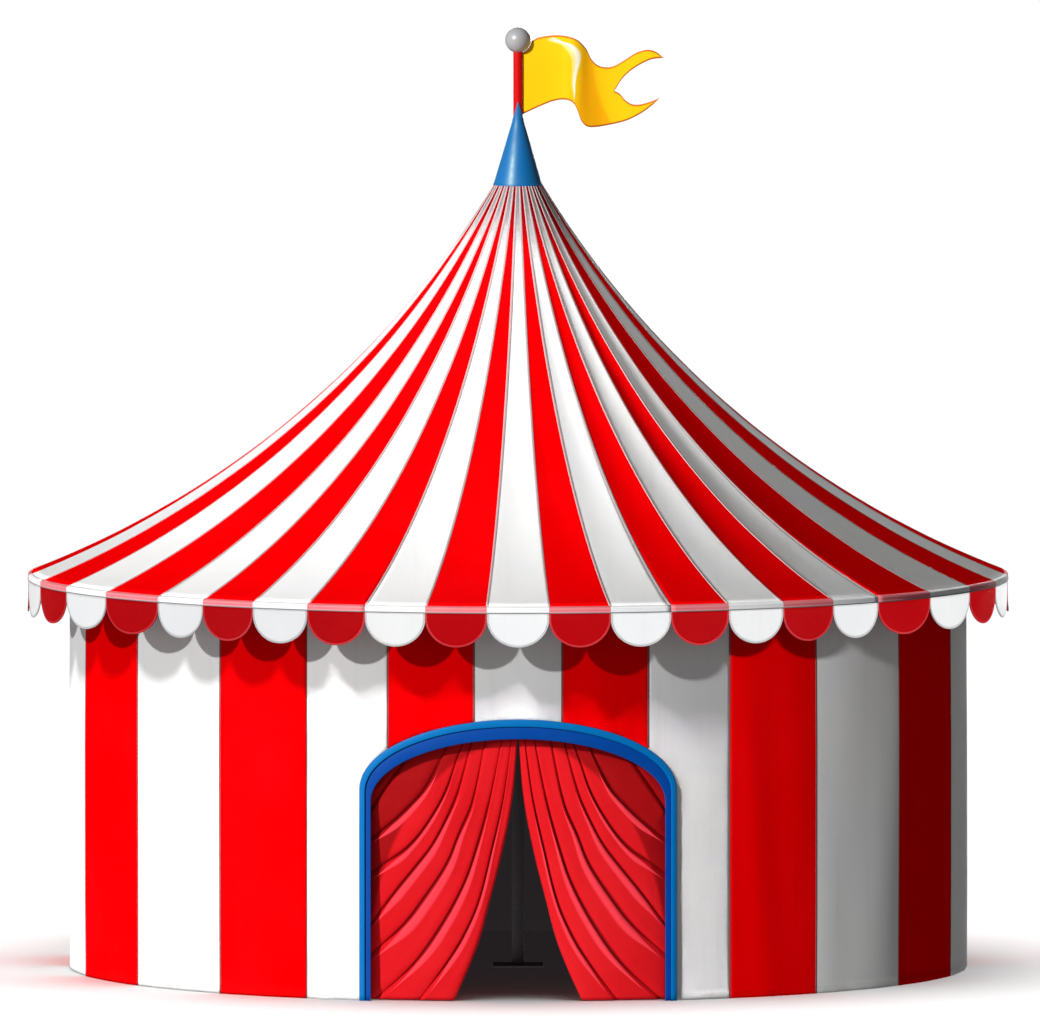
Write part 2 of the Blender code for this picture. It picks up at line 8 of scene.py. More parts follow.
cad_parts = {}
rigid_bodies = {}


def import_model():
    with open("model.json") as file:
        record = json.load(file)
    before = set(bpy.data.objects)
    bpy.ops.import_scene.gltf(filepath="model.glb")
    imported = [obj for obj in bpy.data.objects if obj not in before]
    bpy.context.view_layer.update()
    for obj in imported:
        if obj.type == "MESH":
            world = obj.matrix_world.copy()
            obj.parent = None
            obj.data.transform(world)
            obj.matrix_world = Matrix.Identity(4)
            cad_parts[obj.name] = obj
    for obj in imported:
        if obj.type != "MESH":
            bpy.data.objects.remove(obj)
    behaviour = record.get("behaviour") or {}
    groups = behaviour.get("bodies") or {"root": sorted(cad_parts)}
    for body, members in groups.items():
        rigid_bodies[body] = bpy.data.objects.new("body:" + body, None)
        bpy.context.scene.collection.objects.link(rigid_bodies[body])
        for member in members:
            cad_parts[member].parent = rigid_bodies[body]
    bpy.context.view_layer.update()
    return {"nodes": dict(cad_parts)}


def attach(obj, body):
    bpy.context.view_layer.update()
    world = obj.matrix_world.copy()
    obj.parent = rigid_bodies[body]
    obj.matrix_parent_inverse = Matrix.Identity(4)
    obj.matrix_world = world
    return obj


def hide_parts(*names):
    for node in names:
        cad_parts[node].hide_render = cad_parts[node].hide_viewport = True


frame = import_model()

# Sizes shared with the CAD source, in metres; plan angles in degrees from the doorway, positive to +X
GAP = 0.0003
EAVE_RADIUS = 4.91
EAVE_Z = 3.95
ROOF_ARC_RADIUS = 9.42
CANOPY_END_RADIUS = 0.16
HEM_FOOT_Z = 3.895
SCALLOP_SIDE = 0.05
SCALLOP_BOTTOM_Z = 3.56
WALL_RADIUS = 4.49
WALL_TOP_Z = 4.112
CAP_RADIUS = 0.25
CAP_FOOT_Z = 7.84
CAP_TIP_Z = 8.68
MAST_RADIUS = 0.048
COLLAR_RADIUS = 0.058
BALL_Z = 9.30
BALL_RADIUS = 0.13
FRONT_GORES = 13
FRONT_GORE = 7.2
OTHER_GORES = 27
OTHER_GORE = (360 - FRONT_GORES * FRONT_GORE) / OTHER_GORES
DOOR_PANEL_STRIPES = 5
DOOR_PANEL_ANGLE = 55.8
DOOR_STRIPE = DOOR_PANEL_ANGLE / DOOR_PANEL_STRIPES
NEAR_STRIPE = 13.3
OTHER_STRIPES = 17
OTHER_STRIPE = (360 - DOOR_PANEL_ANGLE - 2 * NEAR_STRIPE) / OTHER_STRIPES
CANOPY_SECTIONS = (("front", 5, FRONT_GORE), ("front_right", 4, FRONT_GORE), ("right", 5, OTHER_GORE),
                   ("rear_right", 6, OTHER_GORE), ("rear", 5, OTHER_GORE), ("rear_left", 6, OTHER_GORE),
                   ("left", 5, OTHER_GORE), ("front_left", 4, FRONT_GORE))
WALL_SECTIONS = (("beside_door_left", (DOOR_STRIPE,)), ("over_door", (DOOR_STRIPE,) * 3),
                 ("beside_door_right", (DOOR_STRIPE,)), ("front_right", (NEAR_STRIPE,) + (OTHER_STRIPE,) * 3),
                 ("rear_right", (OTHER_STRIPE,) * 4), ("rear", (OTHER_STRIPE,) * 3),
                 ("rear_left", (OTHER_STRIPE,) * 4), ("front_left", (OTHER_STRIPE,) * 3 + (NEAR_STRIPE,)))

# Doorway arches: half width, height where the arch springs, height of its top
CASING_OUTER = (1.575, 2.10, 2.815)
CASING_INNER = (1.520, 2.08, 2.745)
LINING_OUTER = (1.540, 2.09, 2.765)
LINING_INNER = (1.460, 1.98, 2.620)
CASING_BACK_RADIUS = 4.4903
CASING_FRONT_RADIUS = 4.5353
LINING_BACK_RADIUS = 4.41
LINING_FRONT_RADIUS = 4.515
DOORWAY_CUT = (LINING_OUTER[0] + 2 * GAP, LINING_OUTER[1], LINING_OUTER[2] + 2 * GAP)
JAMB_ANGLE = math.degrees(math.asin(DOORWAY_CUT[0] / WALL_RADIUS))
CURTAIN_ARCH = (1.500, 2.00, 2.660)

# Fineness of the meshes
GORE_COLUMNS = 10
ROOF_ROWS = 60
SCALLOP_COLUMNS = 20
SCALLOP_ROWS = 8
BINDING_STEPS = 26
STRIPE_COLUMNS = 26
WALL_UPPER_ROWS = 17
WALL_SEAM_STEPS = 36
FRAME_STEPS = 110
PLEAT_COLUMNS = 24
CURTAIN_ROWS = 70
CAP_TURNS = 96
CAP_RINGS = 14
BALL_TURNS = 72
BALL_RINGS = 40
FLAG_BODY_COLUMNS = 84
FLAG_TAIL_COLUMNS = 40
FLAG_HALF_ROWS = 12

# Cloth thicknesses and trims
COATED_CLOTH = 0.006
THIN_CLOTH = 0.005
GORE_SAG = 0.016
ROOF_UNEVEN = 0.004
ROOF_FINE_UNEVEN = 0.0018
ROOF_FIRST_SHARE = 0.004
SEAM_HALF_WIDTH = 0.012
VALANCE_SWING = 0.006
VALANCE_SWING_CHANGE = 0.010
VALANCE_RIPPLE = 0.004
WALL_SEAM_HALF_WIDTH = 0.010
WALL_FOLD_DEPTH = 0.012
WALL_FINE_FOLD_DEPTH = 0.005
WALL_FOLD_TOP_Z = 4.05
WALL_CLEAR_TOP_Z = 2.86
WALL_CLEAR_ANGLE = 24.5
WALL_HEM_TOP_Z = 0.07
WALL_HEM_PROUD = 0.0018
FRAME_CORNER = 0.006
FRAME_CROWN = 0.0004
BALL_SEAM_DEPTH = 0.0012
FLAG_BALL_CLEARANCE = 0.003
FLAG_RIPPLE = 0.005
FLAG_HEM = 0.017

# Trim profiles: half widths across and height for the tapes, radius and height for the hem
ROOF_TAPE = ((-1.0, -0.003), (-1.0, 0.0010), (-0.7, 0.0030), (0.0, 0.0036), (0.7, 0.0030), (1.0, 0.0010),
             (1.0, -0.003))
WALL_TAPE = ((-1.0, -0.003), (-1.0, 0.0008), (-0.7, 0.0024), (0.7, 0.0024), (1.0, 0.0008), (1.0, -0.003))
EAVE_HEM = ((4.857, 3.8955), (4.9060, 3.8955), (4.9130, 3.8965), (4.9150, 3.9000), (4.9130, 3.9040),
            (4.9110, 3.9060), (4.9120, 3.9250), (4.9115, 3.9430), (4.9080, 3.9510), (4.9010, 3.9560),
            (4.8800, 3.9660), (4.8760, 3.9640), (4.857, 3.9500))
EAVE_PIPING_SIDES = (1, 2, 3, 4)

# Binding of the scallops: depth from the edge, and how far it stands out
SCALLOP_BINDING = ((0.018, -0.0095), (0.018, 0.0005), (0.016, 0.0030), (0.002, 0.0030), (-0.0015, 0.0005),
                   (-0.0015, -0.0095), (0.002, -0.0110), (0.016, -0.0110))

# Heights of the wall cloth's rows at the hem, and the step between those above it
WALL_HEM_ROWS = (0.0, 0.030, 0.0685, 0.0715, 0.12, 0.20, 0.32)
WALL_ROW_STEP = 0.1264

# Flag, as in the CAD source: points on its edges are distance from the mast's axis and height
FLAG_HOIST_X = MAST_RADIUS + GAP
FLAG_NOTCH = (0.964, 8.787)
FLAG_CENTRE_SHARE = 0.568
FLAG_TOP = ((0.135, 9.290), (0.208, 9.325), (0.379, 9.349), (0.500, 9.337), (0.598, 9.300),
            (0.683, 9.209), (0.732, 9.110), (0.793, 9.049), (0.879, 9.025), (0.964, 9.039),
            (1.086, 9.110), (1.183, 9.172), (1.293, 9.203), (1.379, 9.184), (1.458, 9.122))
FLAG_BOTTOM = ((0.048, 8.557), (0.269, 8.658), (0.366, 8.692), (0.476, 8.704), (0.561, 8.664),
               (0.604, 8.573), (0.629, 8.499), (0.683, 8.438), (0.757, 8.426), (0.879, 8.441),
               (1.013, 8.469), (1.122, 8.506), (1.244, 8.573), (1.342, 8.647), (1.421, 8.721))
FLAG_UPPER_TAIL = (FLAG_NOTCH, (1.037, 8.903), (1.122, 8.988), (1.244, 9.067), (1.346, 9.110), (1.458, 9.122))
FLAG_LOWER_TAIL = (FLAG_NOTCH, (1.013, 8.763), (1.074, 8.695), (1.135, 8.658), (1.208, 8.652),
                   (1.305, 8.676), (1.421, 8.721))

# The flag's waves at its upper and lower edge, as (distance from the mast's axis, depth)
FLAG_LOW_Z = 8.43
FLAG_HIGH_Z = 9.35
FLAG_WAVE_HIGH = ((0.048, 0.0), (0.30, -0.012), (0.43, -0.030), (0.51, -0.053), (0.56, -0.060),
                  (0.62, -0.044), (0.70, 0.002), (0.76, 0.022), (0.82, 0.027), (0.92, 0.022),
                  (1.10, 0.0), (1.30, -0.024), (1.458, -0.034))
FLAG_WAVE_LOW = ((0.048, 0.0), (0.30, -0.020), (0.42, -0.040), (0.50, -0.056), (0.56, -0.060),
                 (0.64, -0.044), (0.74, -0.010), (0.84, 0.022), (0.92, 0.033), (1.02, 0.031),
                 (1.15, 0.012), (1.30, -0.010), (1.458, -0.027))

# The painted highlight down the flag's swell, as (height above the highlight's foot height, distance from the
# mast's axis or half width)
FLAG_HIGHLIGHT_Z = 8.70
FLAG_HIGHLIGHT_CENTRE = ((0.0, 0.560), (0.03, 0.562), (0.17, 0.557), (0.27, 0.567), (0.36, 0.580), (0.41, 0.583),
                      (0.48, 0.562), (0.557, 0.485), (0.605, 0.355), (1.0, 0.3))
FLAG_HIGHLIGHT_WIDTH = ((0.0, 0.0), (0.03, 0.007), (0.17, 0.027), (0.27, 0.034), (0.36, 0.052), (0.41, 0.060),
                     (0.48, 0.078), (0.557, 0.080), (0.605, 0.075), (0.63, 0.0), (1.0, 0.0))

# Curtain folds as (distance from the centre line, height), from the opening edge out to the jamb
FOLD_LINES = (
    ((0.004, 2.660), (0.053, 2.041), (0.151, 1.507), (0.281, 0.986),
     (0.379, 0.616), (0.487, 0.333), (0.634, 0.010)),
    ((0.057, 2.659), (0.140, 2.041), (0.259, 1.497), (0.389, 0.980),
     (0.541, 0.637), (0.704, 0.376), (0.978, 0.010)),
    ((0.150, 2.656), (0.281, 1.998), (0.433, 1.442), (0.541, 1.148),
     (0.758, 0.746), (1.029, 0.365), (1.410, 0.010)),
    ((0.316, 2.645), (0.454, 1.976), (0.585, 1.661), (0.704, 1.366),
     (0.921, 1.029), (1.138, 0.746), (1.485, 0.431)),
    ((0.447, 2.630), (0.595, 2.085), (0.704, 1.823), (0.856, 1.540),
     (1.030, 1.312), (1.192, 1.110), (1.485, 0.720)),
    ((0.530, 2.618), (0.614, 2.383), (0.726, 2.063), (0.921, 1.726),
     (1.094, 1.520), (1.290, 1.380), (1.485, 1.246)),
    ((0.690, 2.586), (0.769, 2.400), (0.921, 2.106), (1.073, 1.933),
     (1.210, 1.800), (1.355, 1.680), (1.485, 1.583)),
    ((1.080, 2.458), (1.170, 2.330), (1.280, 2.170), (1.360, 2.050),
     (1.420, 1.960), (1.460, 1.890), (1.485, 1.830)),
    ((1.476, 2.117), (1.478, 2.090), (1.480, 2.070), (1.482, 2.050),
     (1.483, 2.020), (1.484, 1.990), (1.485, 1.960)),
)
LAST_FOLD = len(FOLD_LINES) - 1
CURTAIN_EDGE_X, CURTAIN_HEM_Z = FOLD_LINES[0][-1]
LAST_HEM_FOLD = 2
CURTAIN_JAMB_X = FOLD_LINES[LAST_HEM_FOLD + 1][-1][0]
FOLD_CLOTH = 0.286
CURTAIN_HEIGHT = 2.65
CURTAIN_BACK_RADIUS = 4.338
CURTAIN_PLEAT_DEPTH = 0.064


# Shader helpers
class Value:
    """The output of a shader node; plain arithmetic on it adds the nodes that work the result out."""

    def __init__(self, socket):
        self.socket = socket
        self.tree = socket.id_data

    def __add__(self, other):
        return maths("ADD", self, other)

    def __sub__(self, other):
        return maths("SUBTRACT", self, other)

    def __rsub__(self, other):
        return maths("SUBTRACT", other, self)

    def __mul__(self, other):
        return maths("MULTIPLY", self, other)

    def __truediv__(self, other):
        return maths("DIVIDE", self, other)

    def __pow__(self, other):
        return maths("POWER", self, other)

    def __abs__(self):
        return maths("ABSOLUTE", self)

    def clamped(self):
        self.socket.node.use_clamp = True
        return self


def fill(node, inputs):
    """Feed a node's inputs, by name or number, each with a number, a vector, a colour or a Value."""
    for name, value in inputs.items():
        socket = node.inputs[name]
        if isinstance(value, Value):
            node.id_data.links.new(value.socket, socket)
        elif socket.type == "RGBA":
            socket.default_value = (*value, 1.0)
        else:
            socket.default_value = value


def worked(tree, kind, inputs, output=0, **settings):
    """One output of a new node."""
    node = tree.nodes.new(kind)
    for key, setting in settings.items():
        setattr(node, key, setting)
    fill(node, inputs)
    return Value(node.outputs[output])


def maths(operation, *values):
    tree = next(value.tree for value in values if isinstance(value, Value))
    return worked(tree, "ShaderNodeMath", dict(enumerate(values)), operation=operation)


def split(vector):
    """The three parts of a vector."""
    node = worked(vector.tree, "ShaderNodeSeparateXYZ", {0: vector}).socket.node
    return [Value(output) for output in node.outputs]


def mix(share, first, second):
    """A colour between two."""
    return worked(share.tree, "ShaderNodeMix", {0: share, 6: first, 7: second}, 2, data_type="RGBA")


def scaled(vector, scale):
    return worked(vector.tree, "ShaderNodeMapping", {"Vector": vector, "Scale": scale})


def noise_of(vector, scale, detail=3.0, roughness=0.55):
    inputs = {"Vector": vector, "Scale": scale, "Detail": detail, "Roughness": roughness}
    return worked(vector.tree, "ShaderNodeTexNoise", inputs, "Fac")


def ramp(value, low, high, to_low=0.0, to_high=1.0, kind="SMOOTHSTEP"):
    """A rise from to_low to to_high as the value goes from low to high."""
    inputs = {"Value": value, "From Min": low, "From Max": high, "To Min": to_low, "To Max": to_high}
    return worked(value.tree, "ShaderNodeMapRange", inputs, "Result", interpolation_type=kind)


def bump_at(value, centre, half_width):
    """1 where value is at the centre, falling to 0 at half_width; each may be a number or a Value."""
    near = (1.0 - abs(value - centre) / half_width).clamped()
    return ramp(near, 0.0, 0.55)


def curve_through(value, points):
    """A curve through points of (value, result), all from 0 to 1."""
    result = worked(value.tree, "ShaderNodeFloatCurve", {"Value": value})
    mapping = result.socket.node.mapping
    line = mapping.curves[0].points
    line[0].location = points[0]
    line[1].location = points[-1]
    for point in points[1:-1]:
        line.new(*point)
    mapping.update()
    return result


def start_material(name):
    material = bpy.data.materials.new(name)
    material.use_nodes = True
    return material, material.node_tree.nodes["Principled BSDF"]


def piece_place(material):
    """The place on a piece, in metres along its own axes."""
    return worked(material.node_tree, "ShaderNodeTexCoord", {}, "Object")


def cloth_place(material):
    """The place on the flat cloth, in metres."""
    return worked(material.node_tree, "ShaderNodeUVMap", {}, uv_map="cloth")


def add_bump(shader, heights):
    """Chain bumps of (height, strength, distance in metres)."""
    chained = {}
    for height, strength, distance in heights:
        inputs = {"Height": height, "Strength": strength, "Distance": distance, **chained}
        chained = {"Normal": worked(height.tree, "ShaderNodeBump", inputs)}
    fill(shader, chained)


STITCH_LENGTH = 0.011
STITCH_SHARE = 0.62
STITCH_HALF_WIDTH = 0.0012


def stitch_mask(along, across, lines):
    """Dashes of thread at the given distances across the cloth, all in metres."""
    dash = maths("LESS_THAN", maths("FRACT", along / STITCH_LENGTH), STITCH_SHARE)
    rows = None
    for line in lines:
        near = maths("LESS_THAN", abs(across - line), STITCH_HALF_WIDTH)
        rows = near if rows is None else maths("MAXIMUM", rows, near)
    return dash * rows


def cloth(name, base, faded, soiled, roughness=0.6, pitch=0.0022, weave=0.35, sheen=0.0, soil_foot=0.0,
          stitches=(), thread=None, wrinkle=0.004, streak=0.14, gloss=0.08, crown=None, glow=None):
    """Woven or coated cloth: weave, long streaks, blotches of fading, soil near the ground, stitched rows;
    where asked, painted shade under the cap and a faint painted glow.
    """
    material, shader = start_material(name)
    place = piece_place(material)
    height = split(place)[2]
    uv = cloth_place(material)
    along, across = split(uv)[:2]
    turns = 2 * math.pi / pitch
    threads = maths("SINE", along * turns) * maths("SINE", across * turns)
    blotch = noise_of(place, scale=0.9, detail=4.0)
    fine = noise_of(place, scale=14.0, detail=5.0, roughness=0.6)
    streaks = noise_of(scaled(uv, (9.0, 0.55, 1.0)), scale=1.0, detail=4.0, roughness=0.6)
    grime = ramp(streaks, 0.50, 0.80) * streak + ramp(fine, 0.56, 0.80) * 0.12
    if soil_foot > 0:
        splash = ramp(noise_of(place, scale=5.0, detail=5.0, roughness=0.65), 0.30, 0.70)
        grime = grime + ramp(height, 0.0, soil_foot, 0.40, 0.0) * splash
    colour = mix(ramp(blotch, 0.35, 0.75), base, faded)
    colour = mix(maths("MINIMUM", grime, 0.8), colour, soiled)
    colour = mix(abs(threads * 0.035), colour, soiled)
    if stitches:
        colour = mix(stitch_mask(along, across, stitches), colour, thread)
    # Painted shade under the cap, darkening the cloth towards the crown
    if crown:
        colour = mix(ramp(height + (fine - 0.5) * 0.3, *CROWN_SHADE), colour, crown)
    rough = ramp(fine, 0.3, 0.7, roughness - 0.07, roughness + 0.07)
    fill(shader, {"Base Color": colour, "Roughness": rough, "Specular IOR Level": gloss})
    # A faint painted glow, standing in for light inside the tent
    if glow:
        fill(shader, {"Emission Color": glow, "Emission Strength": GLOW_STRENGTH})
    if sheen > 0:
        fill(shader, {"Sheen Weight": sheen, "Sheen Roughness": 0.4, "Sheen Tint": faded})
    crumple = noise_of(scaled(place, (2.2, 2.2, 1.1)), scale=1.0)
    add_bump(shader, ((crumple, 0.6, wrinkle), (threads, weave, 0.0004)))
    return material


def repaint(material, layers):
    """Lay further (mask, colour) layers over a material's own colour."""
    shader = material.node_tree.nodes["Principled BSDF"]
    colour = Value(shader.inputs["Base Color"].links[0].from_socket)
    for mask, layer in layers:
        colour = mix(mask, colour, layer)
    fill(shader, {"Base Color": colour})


def paint_curtain_highlights_and_shade(material):
    """Painted highlights on the ridges and painted shade in the creases, tapering towards each fold's ends;
    painted shadow under the arch.
    """
    along, down = split(cloth_place(material))[:2]
    x, _, z = split(piece_place(material))
    place = along / FOLD_CLOTH
    share = down / CURTAIN_HEIGHT
    step = maths("FRACT", place + 0.5) - 0.5
    foot = ramp(share, 0.78, 0.985, 1.0, 0.0)
    fullness = bump_at(place, 2.0, 3.0) * 0.10 + 0.13
    highlight_width = ramp(share, 0.26, 0.62) * foot * fullness + 0.001
    crease_shade_width = ramp(share, 0.05, 0.40) * foot * 0.07 + 0.02
    after_edge = maths("GREATER_THAN", place, 0.5)
    before_jamb = maths("LESS_THAN", place, LAST_FOLD - 1.5)
    # Painted highlight on the crest beside each crease
    ridge = bump_at(step, -0.15, highlight_width) * before_jamb * 0.9
    # Painted shade in each crease
    crease = bump_at(step, 0.01, crease_shade_width) * after_edge * before_jamb * 0.85
    # Painted shadow of the arch over the outer top corner of each curtain
    across = (x / LINING_INNER[0]) ** 2.0
    rise = (maths("MAXIMUM", z - 0.30, 0.0) / 2.25) ** 2.0
    corner = ramp(across + rise, 1.00, 1.06, 0.0, 0.75)
    repaint(material, ((corner, (0.24, 0.0005, 0.001)), (ridge, (0.98, 0.050, 0.075)),
                       (crease, (0.22, 0.002, 0.003))))


def paint_flag_highlight_and_shade(material):
    """A painted highlight down the front of the swell, and painted shade in a deeper orange where the cloth
    folds back.
    """
    x, _, z = split(piece_place(material))
    drop = (FLAG_HIGH_Z - 0.10 - z).clamped()
    left = 0.665 - drop * 0.09
    right = drop ** 3.0 * 0.40 + 0.745
    # Painted shade where the cloth folds back from the light
    fold = ramp(x - left, -0.025, 0.020) * ramp(x - right, -0.015, 0.030, 1.0, 0.0)
    level = (z - FLAG_HIGHLIGHT_Z).clamped()
    centre = curve_through(level, FLAG_HIGHLIGHT_CENTRE)
    width = maths("MAXIMUM", curve_through(level, FLAG_HIGHLIGHT_WIDTH), 0.001)
    # Painted highlight down the crest of the swell, with a paler core
    streak = bump_at(x, centre, width) * 0.75
    highlight_core = bump_at(x, centre + width * 0.25, width * 0.55) * 0.85
    repaint(material, ((fold, (0.99, 0.45, 0.004)), (streak, (0.98, 0.86, 0.32)), (highlight_core, (1.0, 0.97, 0.80))))


def paint(name, base, worn, roughness=0.3, coat=0.1, coat_roughness=0.25, gloss=0.2, glint=(1.0, 1.0, 1.0)):
    """Brushed or sprayed paint: slight mottling, faint orange peel, scuffs and dust."""
    material, shader = start_material(name)
    place = piece_place(material)
    mottle = noise_of(place, scale=3.5, detail=5.0)
    fine = noise_of(place, scale=70.0)
    drips = noise_of(scaled(place, (30.0, 30.0, 2.0)), scale=1.0, detail=4.0)
    shade = ramp(mottle, 0.35, 0.75) * 0.35 + ramp(drips, 0.55, 0.8) * 0.25 + ramp(fine, 0.66, 0.74) * 0.35
    rough = ramp(mottle, 0.3, 0.75, roughness - 0.06, roughness + 0.12)
    fill(shader, {"Base Color": mix(shade, base, worn), "Roughness": rough, "Specular IOR Level": gloss,
                  "Specular Tint": glint, "Coat Weight": coat, "Coat Roughness": coat_roughness})
    peel = noise_of(place, scale=260.0, detail=2.0)
    add_bump(shader, ((peel, 0.25, 0.0004),))
    return material


def galvanised(name, dark, light, dulled, metallic=0.6, roughness=0.36):
    """Zinc-coated steel: spangle of small crystals, dull patches and fine scratches."""
    material, shader = start_material(name)
    place = piece_place(material)
    cells = worked(place.tree, "ShaderNodeTexVoronoi", {"Vector": place, "Scale": 55.0}, "Color")
    grey = worked(place.tree, "ShaderNodeRGBToBW", {0: cells})
    dull = ramp(noise_of(place, scale=2.5, detail=5.0), 0.4, 0.7)
    colour = mix(dull * 0.6, mix(grey, dark, light), dulled)
    fill(shader, {"Base Color": colour, "Metallic": metallic, "Roughness": grey * 0.18 + roughness})
    scratch = noise_of(scaled(place, (220.0, 220.0, 9.0)), scale=1.0, detail=2.0)
    add_bump(shader, ((scratch, 0.2, 0.0004), (grey, 0.15, 0.0003)))
    return material


# Materials
RED = (0.94, 0.0, 0.001)
RED_FADED = (0.98, 0.001, 0.003)
RED_SOIL = (0.55, 0.004, 0.004)
WHITE = (0.90, 0.90, 0.90)
WHITE_FADED = (0.93, 0.92, 0.90)
WHITE_SOIL = (0.58, 0.57, 0.54)
DARK_LINING = (0.018, 0.017, 0.019)
DARK_LINING_WORN = (0.026, 0.024, 0.026)
# The lining's faint painted glow, standing in for daylight inside the tent
PAINTED_GLOW = (1.0, 0.80, 0.88)
GLOW_STRENGTH = 0.0155

# Painted shade under the cap: the heights where it begins and is full, and its shares there
CROWN_SHADE = (6.95, 7.75, 0.0, 0.90)

# Stitched rows, soil and threads
WALL_STITCHES = (0.010, 0.062)
WALL_SOIL_FOOT = 0.16
HEM_TAPE_STITCHES = (0.014, 0.046)
TAPE_PITCH = 0.003

# The crown colours give the roof painted shade under the cap
canopy_red = cloth("canopy_red", RED, RED_FADED, RED_SOIL, gloss=0.0, crown=(0.13, 0.002, 0.004))
canopy_white = cloth("canopy_white", WHITE, WHITE_FADED, WHITE_SOIL, gloss=0.0, crown=(0.125, 0.122, 0.128))
valance_red = cloth("valance_red", (0.35, 0.001, 0.003), (0.38, 0.002, 0.004), (0.24, 0.002, 0.003),
                    stitches=(0.008,), thread=(0.24, 0.01, 0.01), gloss=0.02)
valance_white = cloth("valance_white", (0.66, 0.67, 0.68), (0.70, 0.70, 0.70), (0.50, 0.49, 0.47),
                      stitches=(0.008,), thread=(0.38, 0.38, 0.39), gloss=0.02)
wall_red = cloth("wall_red", RED, RED_FADED, RED_SOIL, gloss=0.0, soil_foot=WALL_SOIL_FOOT,
                 stitches=WALL_STITCHES, thread=(0.45, 0.004, 0.004))
wall_white = cloth("wall_white", WHITE, WHITE_FADED, WHITE_SOIL, gloss=0.0, soil_foot=WALL_SOIL_FOOT,
                   stitches=WALL_STITCHES, thread=(0.55, 0.54, 0.52))
# The lining has a faint painted glow
lining = cloth("blackout_lining", DARK_LINING, DARK_LINING_WORN, DARK_LINING_WORN, 0.75,
               glow=PAINTED_GLOW)
# A real tape; its pale pink over red is a painted highlight along the eave
hem_tape_highlight_on_red = cloth("hem_tape_pink", (0.76, 0.17, 0.20), (0.80, 0.22, 0.24), (0.58, 0.14, 0.15),
                   pitch=TAPE_PITCH, weave=0.6, stitches=HEM_TAPE_STITCHES, thread=(0.90, 0.55, 0.55))
hem_on_white = cloth("hem_tape_white", (0.84, 0.85, 0.86), WHITE, WHITE_SOIL,
                     pitch=TAPE_PITCH, weave=0.6, stitches=HEM_TAPE_STITCHES, thread=(0.55, 0.55, 0.56))
piping = cloth("grey_piping", (0.24, 0.23, 0.24), (0.30, 0.29, 0.30), (0.18, 0.17, 0.17), pitch=TAPE_PITCH)
roof_tape = cloth("roof_seam_tape", (0.46, 0.33, 0.33), (0.54, 0.40, 0.40), (0.32, 0.22, 0.22),
                  pitch=TAPE_PITCH, weave=0.5, stitches=(-0.007, 0.007), thread=(0.70, 0.62, 0.62))
wall_tape = cloth("wall_seam_tape", (0.24, 0.06, 0.06), (0.30, 0.09, 0.09), (0.16, 0.05, 0.05),
                  pitch=TAPE_PITCH, weave=0.5, stitches=(-0.006, 0.006), thread=(0.45, 0.32, 0.32))
binding_red = cloth("binding_red", (0.46, 0.020, 0.028), (0.52, 0.04, 0.045), (0.32, 0.02, 0.02),
                    pitch=TAPE_PITCH, weave=0.6)
binding_grey = cloth("binding_grey", (0.42, 0.43, 0.44), (0.48, 0.48, 0.48), (0.34, 0.33, 0.32),
                     pitch=TAPE_PITCH, weave=0.6)
curtain_red = cloth("curtain_velvet", (0.68, 0.006, 0.011), (0.74, 0.010, 0.016), (0.46, 0.003, 0.005), 0.7,
                    pitch=0.0026, weave=0.7, sheen=0.15, wrinkle=0.003, streak=0.25)
# Painted highlights on the ridges, painted shade in the creases and painted shadow under the arch
paint_curtain_highlights_and_shade(curtain_red)
flag_yellow = cloth("flag_yellow", (0.93, 0.55, 0.004), (0.95, 0.59, 0.006), (0.88, 0.47, 0.005), 0.5,
                    weave=0.5, wrinkle=0.003, gloss=0.04)
# Painted highlight and painted fold shade on the flag
paint_flag_highlight_and_shade(flag_yellow)
flag_hem = cloth("flag_hem", (0.66, 0.16, 0.006), (0.72, 0.20, 0.01), (0.52, 0.13, 0.006), weave=0.5)
light_blue = paint("door_blue_light", (0.0, 0.152, 0.44), (0.001, 0.17, 0.48), 0.45, coat=0.04, gloss=0.08)
dark_blue = paint("door_blue_dark", (0.0, 0.056, 0.31), (0.001, 0.068, 0.35), 0.45, coat=0.04, gloss=0.08)
cap_blue = paint("cap_blue", (0.0, 0.140, 0.40), (0.0, 0.120, 0.36), 0.44, coat=0.0, gloss=0.6,
                 glint=(0.85, 1.0, 0.65))
mast_red = paint("mast_red", (0.62, 0.002, 0.003), (0.50, 0.002, 0.003), 0.4, gloss=0.1)
ball_grey = paint("ball_grey", (0.37, 0.37, 0.38), (0.32, 0.32, 0.33), 0.35, coat=1.0, coat_roughness=0.36)
steel = galvanised("galvanised_steel", (0.15, 0.155, 0.165), (0.30, 0.31, 0.32), (0.17, 0.17, 0.17))
# Darker, duller steel for the king pole: its dark colour is painted shade for the inside of the tent
shaded_steel = galvanised("galvanised_steel_old", (0.13, 0.12, 0.13), (0.17, 0.16, 0.17), (0.14, 0.13, 0.14),
                       metallic=0.1, roughness=0.72)


# Mesh helpers
def plan_point(radius, angle, z):
    turn = math.radians(angle)
    return Vector((radius * math.sin(turn), -radius * math.cos(turn), z))


def make_piece(name, bm, materials):
    for face in bm.faces:
        face.smooth = True
    mesh = bpy.data.meshes.new(name)
    bm.to_mesh(mesh)
    bm.free()
    obj = bpy.data.objects.new(name, mesh)
    bpy.context.scene.collection.objects.link(obj)
    for material in materials:
        mesh.materials.append(material)
    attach(obj, "root")
    return obj


def thicken(obj, thickness, inner_offset=0, offset=-1.0):
    """Give a sheet its thickness; inner_offset counts from the outer face's materials to the inner's."""
    shell = obj.modifiers.new("thickness", "SOLIDIFY")
    shell.thickness = thickness
    shell.offset = offset
    shell.material_offset = inner_offset


